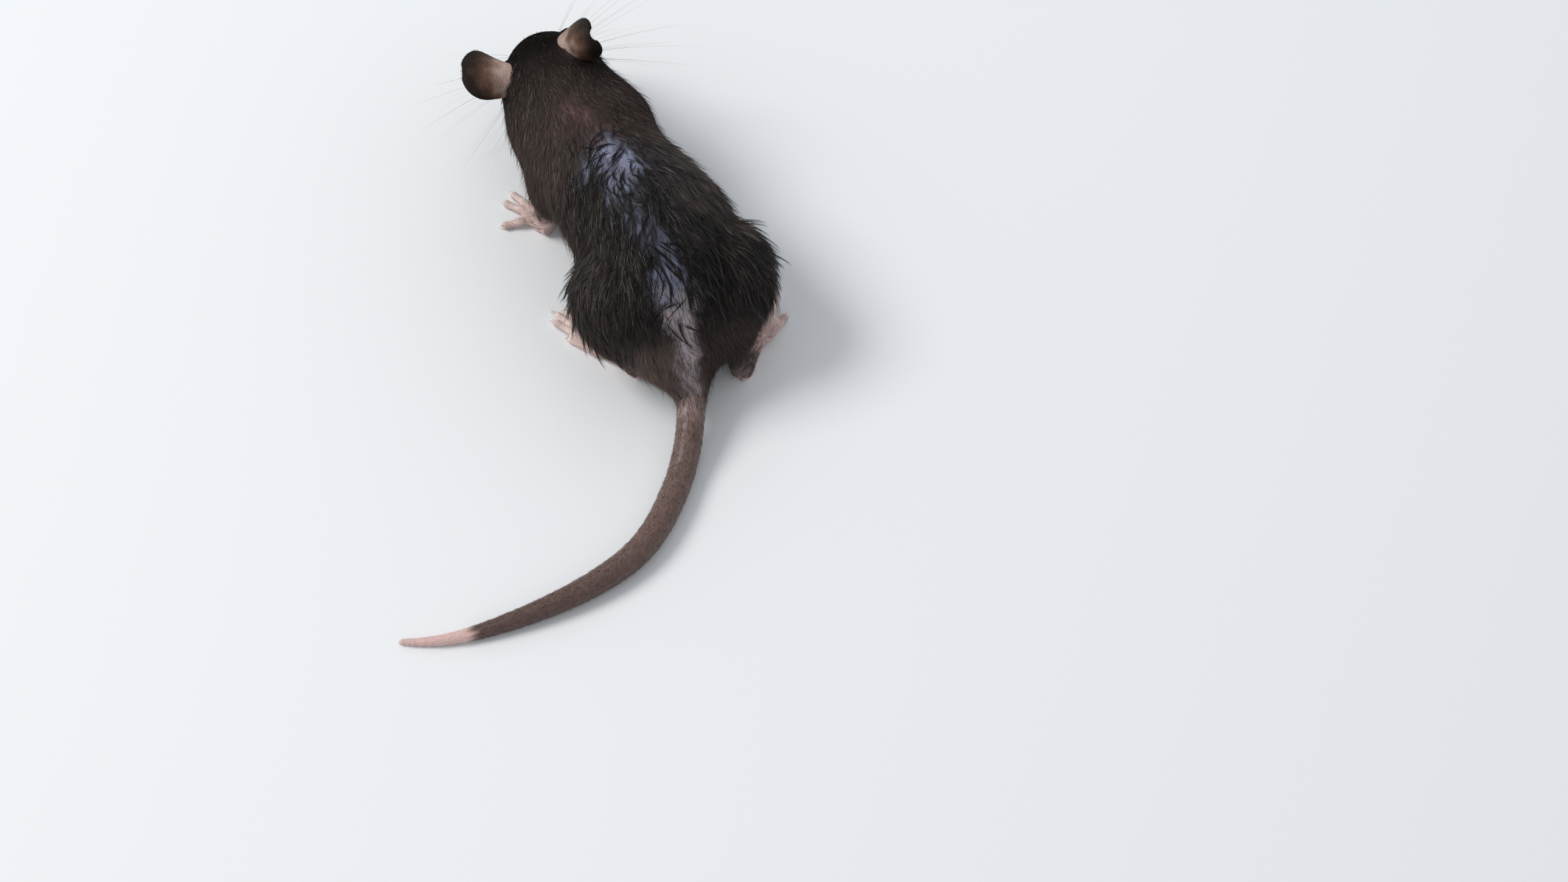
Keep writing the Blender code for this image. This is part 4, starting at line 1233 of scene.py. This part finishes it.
def fur_tones(points, thin, rng):
    """Black-brown hairs that differ a little, browner low on the flanks and lighter on the shoulders with
    painted sheen, with a few pale tips that are partly painted highlights.
    """
    count = len(points)
    ahead = ahead_of_ears(points)
    damp = damp_coat(points)
    on_head = smooth_step((ahead + 16) / 20)
    even = np.maximum(on_head, within(points, (Y, -46, -8)))
    level = 1 + rng.uniform(-0.34, 0.34, count) * (1 - 0.55 * even)
    # lighter and darker places of the coat, the shoulders' lightening partly painted sheen
    for gain, *borders in COAT_AND_SHEEN_LEVELS:
        level *= 1 + gain * within(points, *borders)
    level = level[:, None]
    low = smooth_step((30 + 4 * noise(points, 8.0, 22) - points[:, 2]) / 10)
    soft = mixed(FUR_TIP, FUR_BROWN, np.maximum(low, within(points, (Y, -40, -12))))
    soft = mixed(soft, FUR_DAMP, 0.8 * damp)
    head = mixed(HEAD_FUR, FACE_FUR, smooth_step((ahead - 7) / 9))
    tip = mixed(soft, head, on_head) * level
    root = mixed(linear(FUR_ROOT), head * 0.8, on_head) * level
    root = mixed(root, tip, 0.6 * (1 - damp))
    # a few pale tips, more on the upper body: partly pale hairs of the coat, partly painted highlights
    share = (0.02 + 0.10 * within(points, (Z, 24, 8))) * (1 - on_head) * (1 - thin)
    pale = rng.random(count) < share
    tip = np.where(pale[:, None], linear(FUR_PALE_GLINT) * rng.uniform(0.4, 1.1, count)[:, None], tip)
    return root, tip


def coat_weight(points):
    """How thickly the coat is sown: more where hairs are short, less where it is thin, none on the eyes."""
    _, length, _ = lie_at(points)
    weight = np.clip((4.4 / length) ** 0.75, 0.8, 2.4) * (1 - 0.5 * thin_coat(points))
    weight *= np.where(ahead_of_ears(points) > 26.6, 0.0, 1.0) * (1 - 0.25 * near_ear(points))
    weight *= np.where(points[:, 2] < 1.8, 0.15, 1.0)
    for side in SIDES:
        offset = points - eye_centre(side)
        opening = np.arccos(np.clip(unit(offset) @ eye_axes(side)[0], -1, 1))
        weight *= np.where((np.linalg.norm(offset, axis=1) < 3.6) & (opening < 1.0), 0.0, 1.0)
    return weight


def grow_coat(points, faces, normals, material):
    """The coat over the body's skin, in pieces from the nose to the tail root. Returns the skin's tree."""
    rng = np.random.default_rng(21)
    count = COAT_HAIRS
    roots, face, a, b = scattered(points, faces, coat_weight(points), count, rng)
    corner = normals[faces[face]]
    shares = np.stack([1 - a - b, a, b], axis=1)
    root_normals = unit((corner * shares[..., None]).sum(axis=1))
    tree = BVHTree.FromPolygons(points.tolist(), faces.tolist())
    way, length, lift = lie_at(roots)
    reach = along_skin(way, root_normals) * length[:, None]
    thin, damp = thin_coat(roots), damp_coat(roots)
    # a hair is left out where it would cross bare skin, less often at the rump
    halfway, at_tip = thin_coat(roots + reach * 0.55), thin_coat(roots + reach * 0.95)
    over = np.maximum(thin, np.maximum(halfway, 0.85 * at_tip))
    shed = 0.93 - 0.09 * within(roots, (Y, -9, 5))
    keep = rng.random(count) > np.maximum(shed * over, 0.38 * damp)
    roots, root_normals, length, lift, thin, damp = (
        some[keep] for some in (roots, root_normals, length, lift, thin, damp)
    )
    count = len(roots)
    guard = (rng.random(count) < GUARD_SHARE) & (length > 2.3)
    length = length * rng.uniform(0.72, 1.12, count) * np.where(guard, 1.3, 1.0) * (1 - 0.35 * thin)
    lift = lift * rng.uniform(0.5, 1.6, count) + np.where(guard, 13.0, 0.0) + 3.0 * thin
    swing = 0.30 * noise(roots, 8.0, 5) + rng.normal(0, 0.17, count)
    paths = hair_paths(tree, roots, root_normals, length, lift, swing)

    # each hair leans towards the nearest tuft's own course
    keys, key_face, _, _ = scattered(points, faces, np.ones(len(points)), TUFTS, rng)
    _, key_length, key_lift = lie_at(keys)
    key_thin = thin_coat(keys)
    key_swing = 0.30 * noise(keys, 8.0, 5) + rng.normal(0, 0.22, TUFTS) * (1 + 1.4 * key_thin)
    key_lift = key_lift * (1 + 0.8 * key_thin)
    key_paths = hair_paths(tree, keys, normals[faces[key_face, 0]], key_length, key_lift, key_swing)
    share = np.clip(0.20 + 0.50 * damp + 0.5 * thin + 0.14 * noise(roots, 5.0, 6), 0.1, 0.93)
    share = share * rng.uniform(0.7, 1.05, count)
    paths = gathered(paths, keys, key_paths, np.where(guard, share * 0.3, np.clip(share, 0, 0.95)))

    hairs = paths, root_normals, *fur_tones(roots, thin, rng), unwrapped(roots)
    radius = (0.034 + 0.0036 * np.clip(length, 1, 7)) * np.where(guard, 0.85, 1.0)
    order = np.argsort(-in_blocks(body_place, roots)[0])
    for name, some in zip(COAT_PIECES, np.array_split(order, len(COAT_PIECES))):
        chosen = [column[some] for column in hairs]
        hair_piece(f"coat_{name}", material, chosen, radius[some], soft=0.62)
    return tree


def lock_weights(points):
    """Where each kind of damp lock grows."""
    thin = thin_coat(points)
    middle = middle_x(points[:, 1])
    parting = thin * within(points, (Y, -58, 5), (Y, -3, -3)) * (1 - 0.6 * within(points, (Y, -18, 6)))
    back = within(points, (Z, 22, 8), (Y, -2, -4), (Y, -52, 6)) * (1 - thin)
    hips = within(points, (Y, -40, 8), (Y, -4, -4), (Z, 17, 6)) * (1 - thin)
    fringe = hips * smooth_step((np.abs(points[:, 0] - middle) - 12) / 4) * within(points, (Y, -32, 6))
    return {"parting": parting, "back": back, "hips": hips, "fringe": fringe}


def lock_course(tree, roots, normal, length, swing, curl):
    """A lock's middle over the skin in even steps, with its ways onwards, aside and up at each."""
    centre, ways, sides, ups = [roots], [], [], []
    for step in range(LOCK_STEPS + 1):
        way = along_skin(lie_at(centre[-1])[0], normal)
        angle = (swing + curl * (step / LOCK_STEPS - 0.5))[:, None]
        ways.append(way * np.cos(angle) + np.cross(normal, way) * np.sin(angle))
        sides.append(np.cross(normal, ways[-1]))
        ups.append(normal)
        if step < LOCK_STEPS:
            onwards, normal = on_surface(tree, centre[-1] + ways[-1] * (length / LOCK_STEPS)[:, None])
            centre.append(onwards)
    return (np.stack(some, axis=1) for some in (centre, ways, sides, ups))


def grow_locks(tree, points, faces, normals, material):
    """Damp black locks over the back and hips: strands that run together and part again at the tip."""
    rng = np.random.default_rng(33)
    weights = lock_weights(points)
    for name, (count, length, turn, curl, lift, strands, spread, thick, tip, soft) in LOCK_KINDS.items():
        roots, face, _, _ = scattered(points, faces, weights[name], count, rng)
        length = length * rng.uniform(0.6, 1.25, count)
        lift = np.sin(np.radians(lift * rng.uniform(0.5, 1.3, count)))
        swing = turn * (1.5 * noise(roots, 11.0, 61) + rng.normal(0, 0.4, count))
        curl = curl * (1.2 * noise(roots, 14.0, 62) + rng.normal(0, 0.5, count))
        centre, ways, sides, ups = lock_course(tree, roots, normals[faces[face, 0]], length, swing, curl)
        share = np.linspace(0, 1, LOCK_STEPS + 1)[None, :, None]
        found = []
        for _ in range(strands):
            root_out = rng.normal(0, spread, count)[:, None, None] * (1 - share) ** 1.6
            tip_out = rng.normal(0, 0.26, count)[:, None, None] * share**2.5
            ahead = rng.uniform(-1.0, 0.8, count)[:, None, None] * (1 - 0.5 * share)
            height = 0.12 + rng.uniform(0.0, 0.25, count)[:, None, None]
            height = height + (length * lift)[:, None, None] * share**1.3
            found.append(centre + sides * (root_out + tip_out) + ways * ahead + ups * height)
        paths = np.concatenate(found)
        level = rng.uniform(0.6, 1.5, len(paths))[:, None]
        radius = np.clip(rng.normal(thick, 0.02, len(paths)), 0.04, 0.15)
        normal, places = (np.tile(some, (strands, 1)) for some in (ups[:, 0], unwrapped(roots)))
        hairs = paths, normal, linear(LOCK_ROOT) * level, linear(tip) * level, places
        hair_piece(f"locks_{name}", material, hairs, radius, LOCK_SHAPE, soft)


def grow_tail_hairs(material):
    """Short bristles between the rings of scales, and the last of the body's coat over the tail's root."""
    rng = np.random.default_rng(5)
    at_root = 2.5 + 13 * rng.random(TAIL_ROOT_HAIRS) ** 1.4
    onwards = 5 + (TAIL_LENGTH - 6) * rng.random(TAIL_HAIRS - TAIL_ROOT_HAIRS) ** 1.1
    distance = np.concatenate([at_root, onwards])
    around = rng.random(TAIL_HAIRS) * 2 * math.pi
    centres, ways, level, up = tail_frame(distance)
    normals = np.cos(around)[:, None] * level + np.sin(around)[:, None] * up
    roots = centres + normals * tail_radius(distance)[:, None]
    length = 1.35 + 1.3 * smooth_step((13 - distance) / 9) + 2.2 * smooth_step((7 - distance) / 4)
    length = length * rng.uniform(0.7, 1.2, TAIL_HAIRS) * (1 - 0.25 * distance / TAIL_LENGTH)
    lift = np.sin(np.radians(rng.uniform(7, 17, TAIL_HAIRS)))[:, None]
    swing = unit(ways + np.cross(ways, normals) * rng.normal(0, 0.15, TAIL_HAIRS)[:, None])
    paths = short_hairs(roots, swing, normals, length, (0.5 * lift, 0.85 * lift), 0.1)
    paths[:, :, 2] = np.maximum(paths[:, :, 2], 0.06)
    pale = smooth_step((distance - (TAIL_LENGTH - 19)) / 4)
    root_tone = mixed(BRISTLE[0], PALE_BRISTLE[0], pale)
    tip_tone = mixed(BRISTLE[1], PALE_BRISTLE[1], pale)
    tip_tone = mixed(tip_tone, ROOT_FUZZ, smooth_step((14 - distance) / 8) * rng.random(TAIL_HAIRS))
    places = np.stack([0.02 + 0.96 * distance / TAIL_LENGTH, 0.1 + 0.8 * around / (2 * math.pi)], axis=1)
    hairs = [column[roots[:, 2] > 0.25] for column in (paths, normals, root_tone, tip_tone, places)]
    hair_piece("coat_tail", material, hairs, 0.030)


def grow_ear_hairs(material):
    """Very short down on the backs and rims of the ears."""
    rng = np.random.default_rng(9)
    found = []
    for number, side in enumerate(SIDES):
        points, normal, t, share = ear_grid(side, 90, 100)
        pick = rng.integers(0, t.size, EAR_HAIRS)
        way = unit(np.gradient(points, axis=0)).reshape(-1, 3)[pick]
        outer = rng.random(EAR_HAIRS) < 0.72
        normals = normal.reshape(-1, 3)[pick] * np.where(outer, -1.0, 1.0)[:, None]
        t, share = t.ravel()[pick], share.ravel()[pick]
        length = 0.35 + 0.4 * rng.random(EAR_HAIRS)
        start = points.reshape(-1, 3)[pick] + normals * (EAR_WALL / 2 - 0.05)
        swing = unit(way + np.cross(way, normals) * rng.normal(0, 0.3, EAR_HAIRS)[:, None])
        light = (rng.uniform(0.8, 1.3, EAR_HAIRS) * (2.2 - 1.6 * smooth_step((t - 0.2) / 0.5)))[:, None]
        places = np.stack([0.02 + 0.47 * (share + 1) / 2 + 0.5 * number, 0.02 + 0.96 * t], axis=1)
        paths = short_hairs(start, swing, normals, length, (0.16, 0.22), 0.0)
        found.append((paths, normals, linear(EAR_DOWN[0]) * light, linear(EAR_DOWN[1]) * light, places))
    hair_piece("coat_ears", material, map(np.concatenate, zip(*found)), 0.02)


def grow_foot_hairs(material, feet):
    """Sparse short hairs on the tops of the feet."""
    rng = np.random.default_rng(13)
    found = []
    for number, (name, (points, faces, _, _)) in enumerate(feet.items()):
        heel, _, ahead, hind = foot_frame(name)
        normals = normals_of(points, faces)
        reach = 24.0 if hind else 12.0
        weight = smooth_step((normals[:, 2] + 0.1) / 0.5)
        weight = weight * np.clip(1.2 - (points - heel) @ ahead / reach, 0.12, 1.0) ** 1.5
        count = HIND_FOOT_HAIRS if hind else FORE_FOOT_HAIRS
        roots, face, _, _ = scattered(points, faces, weight, count, rng)
        along = (roots - heel) @ ahead
        normal = normals[faces[face, 0]]
        way = along_skin(np.broadcast_to(ahead, roots.shape), normal)
        length = np.clip(2.0 - 1.5 * along / reach, 0.6, 2.2) * rng.uniform(0.6, 1.1, len(roots))
        paths = short_hairs(roots, way, normal, length, (0.10, 0.14), 0.05)
        paths[:, :, 2] = np.maximum(paths[:, :, 2], 0.05)
        far = smooth_step((along / reach * 1.4 - 0.2) * 1.3)
        u = (number + 0.1 + 0.8 * rng.random(len(roots))) / 4
        places = np.stack([u, 0.02 + 0.9 * np.clip(along / 30, 0, 1)], axis=1)
        tones = (mixed(near, pale, far) for near, pale in zip(FOOT_HAIR, PALE_FOOT_HAIR))
        found.append((paths, normal, *tones, places))
    hair_piece("coat_feet", material, map(np.concatenate, zip(*found)), 0.032)


def whisker_roots(rng):
    """Five rows of five on a pad of the muzzle, longest at the back, and two over the eye.

    Each has its place and way, along the head's axes, and its length.
    """
    found = []
    for row in range(5):
        for column in range(5):
            place = (17.2 + 1.15 * column, 6.9 - 0.52 * column - 0.12 * (row - 2) ** 2, 1.9 - 1.05 * row)
            way = (-0.34 + 0.20 * column, 1.0, 0.42 - 0.24 * row)
            found.append((place, way, (31 - 4.0 * column) * rng.uniform(0.85, 1.08)))
    return found + [((13.8, 6.6, 7.2), (-0.2, 0.75, 0.65), 17.0), ((12.6, 7.0, 7.4), (-0.35, 0.8, 0.6), 14.0)]


def grow_whiskers(material):
    """Long whiskers from the muzzle and over the eyes: root + way t length + droop t^2 length."""
    rng = np.random.default_rng(17)
    forms, tones = [], []
    for side in SIDES:
        for place, way, length in whisker_roots(rng):
            way = unit(unit(np.array(way)) @ mirrored(side) + rng.normal(0, 0.05, 3))
            droop = -HEAD[0] * rng.uniform(0.10, 0.22) + np.array([0, 0, rng.uniform(-0.16, 0.02)])
            t = np.linspace(0, 1, 12)[:, None]
            path = beside_head(place, side) - way * 1.6 + way * (t * length) + droop * (t**2 * length)
            low = path[:, 2] - 0.4
            path[:, 2] = 0.4 + 0.5 * (low + np.sqrt(low**2 + 4.0))  # bends away before it meets the floor
            radii = (0.020 + 0.0006 * length) * (1 - t[:, 0]) ** 0.85 + 0.006
            forms.append(tube(path, radii, 5))
            shade = linear(WHISKER_DARK if rng.random() < 0.15 else WHISKER)
            tones.append(np.tile(shade, (len(forms[-1][0]), 1)))
    piece("whiskers", mesh_from("whiskers", *joined(forms), np.vstack(tones)), [material])


# ---------------------------------------------------------------- small parts


def make_claws(claws, material):
    """Tapered horn that rises by sin 2.2t and then bends down by t^2."""
    forms = []
    for root, way, length in claws:
        t = np.linspace(0, 1, 9)[:, None]
        path = root + way * (t * length) + SKY * (0.25 * np.sin(2.2 * t) - 0.85 * t**2)
        path[:, 2] = np.maximum(path[:, 2], 0.14)
        forms.append(tube(path, 0.30 * (1 - t[:, 0] ** 1.6) ** 0.8 + 0.03, 10))
    points, faces = joined(forms)
    tone = mixed(CLAW, CLAW_DULL, smooth_step(0.5 + noise(points, 2.0, 41)))
    piece("claws", mesh_from("claws", points, faces, tone), [material])


def make_eye(name, side, material):
    """A ball with a low rounded cornea, 0.22 exp(-(angle / 0.6)^2) high."""
    out, along, across = eye_axes(side)
    points, faces = ball(eye_centre(side), [along, across, out], (EYE_RADIUS,) * 3, 48, 34)
    off = np.arccos(np.clip(unit(points - eye_centre(side)) @ out, -1, 1))
    points += out * (0.22 * np.exp(-((off / 0.6) ** 2)))[:, None]
    tone = mixed(EYE_BLACK, EYE_EDGE, smooth_step((off - 0.75) / 0.4))
    obj = piece(name.replace("eye", "eyeball"), mesh_from(name, points, faces, tone), [material])
    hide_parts(name)


def skin_line(tree, points, sunk, radius):
    """A thin tube along a smoothed line on the skin."""
    found, normals = on_surface(tree, points)
    line = found - normals * sunk
    for _ in range(6):
        line[1:-1] = (line[:-2] + 2 * line[1:-1] + line[2:]) / 4
    return tube(line, np.full(len(line), radius), 8)


def make_nose(tree, skin_material, dark_material):
    """The nose pad with its two slits, the cleft under it and the line of the mouth."""
    centre = in_head(26.9, 0, 0.5)
    points, faces = ball(centre, HEAD, (1.5, 1.75, 1.35), 40, 26)
    local = (points - centre) @ HEAD.T
    cleft = np.exp(-((local[:, 1] / 0.25) ** 2)) * smooth_step(local[:, 0] / 0.8)
    points -= HEAD[0] * (0.35 * cleft)[:, None]
    for side in SIDES:
        dip = np.exp(-(((points - beside_head((28.0, 0.85, 0.25), side)) ** 2).sum(1) / 0.45**2))
        points -= HEAD[0] * (0.5 * dip)[:, None]
    # the nose pad darker in its cleft: painted shade in the groove
    tone = linear(NOSE) * (1 - 0.5 * cleft)[:, None]
    piece("nose", mesh_from("nose", points, faces, tone), [skin_material])
    forms = []
    t = np.linspace(-1, 1, 12)
    for side in SIDES:
        slit = in_head(28.15 - 0.35 * np.abs(t), side * (0.85 + 0.21 * (t + 1)), 0.15 + 0.32 * t)
        forms.append(tube(slit, 0.17 * np.sqrt(np.clip(1 - t**2, 0.03, 1)), 8))
    v = np.linspace(-1, 1, 41)
    reach = np.abs(v)
    mouth = in_head(24.6 - 6.6 * reach**1.3, 4.4 * v, -5.0 - 0.72 * np.sin(math.pi * reach))
    forms.append(skin_line(tree, mouth, 0.02, 0.16))
    v = np.linspace(0, 1, 14)
    forms.append(skin_line(tree, in_head(27.6 - 2.6 * v, 0, -0.6 - 4.6 * v), 0.0, 0.13))
    piece("mouth_line", mesh_from("mouth_line", *joined(forms), linear(MOUTH)), [dark_material])


# ---------------------------------------------------------------- build


def make_skin(body, feet):
    """One skin of five finishes: body, feet, ears, tail and the rims of the lids."""
    tail, tail_faces, tail_colours, scales = make_tail_skin()
    parts = [(*body, skin_tone(body[0]), 0)]
    parts += [(points, faces, tone, 1) for points, faces, tone, _ in feet.values()]
    parts += [(*make_ear(side), 2) for side in SIDES]
    parts.append((tail, tail_faces, tail_colours, 3))
    parts += [(*lid_ring(side), 4) for side in SIDES]
    points, faces = joined([part[:2] for part in parts])
    places = np.zeros((len(points), 3))
    start = sum(len(part[0]) for part in parts if part[3] < 3)
    places[start : start + len(scales)] = scales
    finishes = np.concatenate([np.full(len(part[1]), part[3], np.int32) for part in parts])
    return mesh_from("skin", points, faces, np.vstack([part[2] for part in parts]), places), finishes


def build_animal():
    """All the pieces of the animal, with their finishes."""
    foot_skin = bare_skin_material("foot_skin", 0.5, 0.42, 0.10, 0.14)
    ear_skin = bare_skin_material("ear_skin", 0.6, 0.8, 0.07, 0.2, Specular_IOR_Level=0.2)
    skins = [coat_skin_material(), foot_skin, ear_skin, tail_skin_material(), plain_finish("lid_rim")]
    fur, bristle, eye = (plain_finish(name) for name in ("fur", "tail_bristle", "eye"))

    body = make_body_skin()
    feet = {name: make_foot_skin(name) for name in FEET}
    mesh, finishes = make_skin(body, feet)
    skin = piece("skin", mesh, skins)
    mesh.polygons.foreach_set("material_index", finishes)
    flesh = [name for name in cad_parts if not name.startswith("eye_")]
    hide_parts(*flesh)

    for name, side in (("eye_left", 1), ("eye_right", -1)):
        make_eye(name, side, eye)
    body_normals = normals_of(*body)
    tree = grow_coat(*body, body_normals, fur)
    grow_locks(tree, *body, body_normals, plain_finish("lock"))
    grow_tail_hairs(bristle)
    grow_ear_hairs(fur)
    grow_foot_hairs(bristle, feet)
    grow_whiskers(plain_finish("whisker"))
    make_claws([claw for foot in feet.values() for claw in foot[3]], plain_finish("claw"))
    make_nose(tree, foot_skin, plain_finish("mouth_dark"))


def make_floor():
    """A wide pale floor, just under the feet."""
    corners = FLOOR_REACH * np.array([[-1, -1, 0], [1, -1, 0], [1, 1, 0], [-1, 1, 0]])
    mesh = mesh_from("floor", corners - OFFSET - 0.01 * SKY, [(0, 1, 2, 3)])
    floor = placed("floor", mesh)
    material, shader = new_material("floor_pale", 0.55, Specular_IOR_Level=0.3)
    shader.inputs["Base Color"].default_value = (*linear(FLOOR), 1)
    mesh.materials.append(material)


def aimed(obj, place, target):
    """Puts a light or the camera at a place, looking at another."""
    obj.location = Vector(place)
    obj.rotation_euler = (Vector(target) - Vector(place)).to_track_quat("-Z", "Y").to_euler()


def make_lights():
    """A pale sky, a broad window on the left in front, and a weak fill on the right."""
    world = bpy.data.worlds.new("studio")
    bpy.context.scene.world = world
    world.use_nodes = True
    background = world.node_tree.nodes["Background"]
    background.inputs["Color"].default_value = (0.93, 0.96, 1.0, 1)
    background.inputs["Strength"].default_value = 0.60
    for name, place, size, power, colour in LIGHTS:
        light = bpy.data.lights.new(name, "AREA")
        light.shape = "DISK"
        light.size = size
        light.energy = power
        light.color = colour
        aimed(placed(name, light), place, (0, 0, 0.02))


def make_camera():
    """Looks down on the animal from behind, with its head away from the viewer."""
    right, ahead = np.array([-0.927, 0.375, 0.0]), np.array([-0.375, -0.927, 0.0])
    rise = math.radians(CAMERA_RISE)
    into = ahead * math.cos(rise) - SKY * math.sin(rise)
    up = ahead * math.sin(rise) + SKY * math.cos(rise)
    place = np.array(TAIL_ROOT_PLACE) + OFFSET - CAMERA_DISTANCE * into
    place = place - TAIL_ROOT_IN_VIEW[0] * right - TAIL_ROOT_IN_VIEW[1] * up
    camera = bpy.data.cameras.new("camera")
    camera.lens = CAMERA_LENS
    camera.sensor_width = 36.0
    camera.clip_start, camera.clip_end = 0.01, 20.0
    obj = placed("camera", camera)
    aimed(obj, place * MM, (place + into * 100) * MM)
    bpy.context.scene.camera = obj


make_camera()
make_floor()
make_lights()
build_animal()
bpy.context.scene.view_settings.view_transform = "Standard"
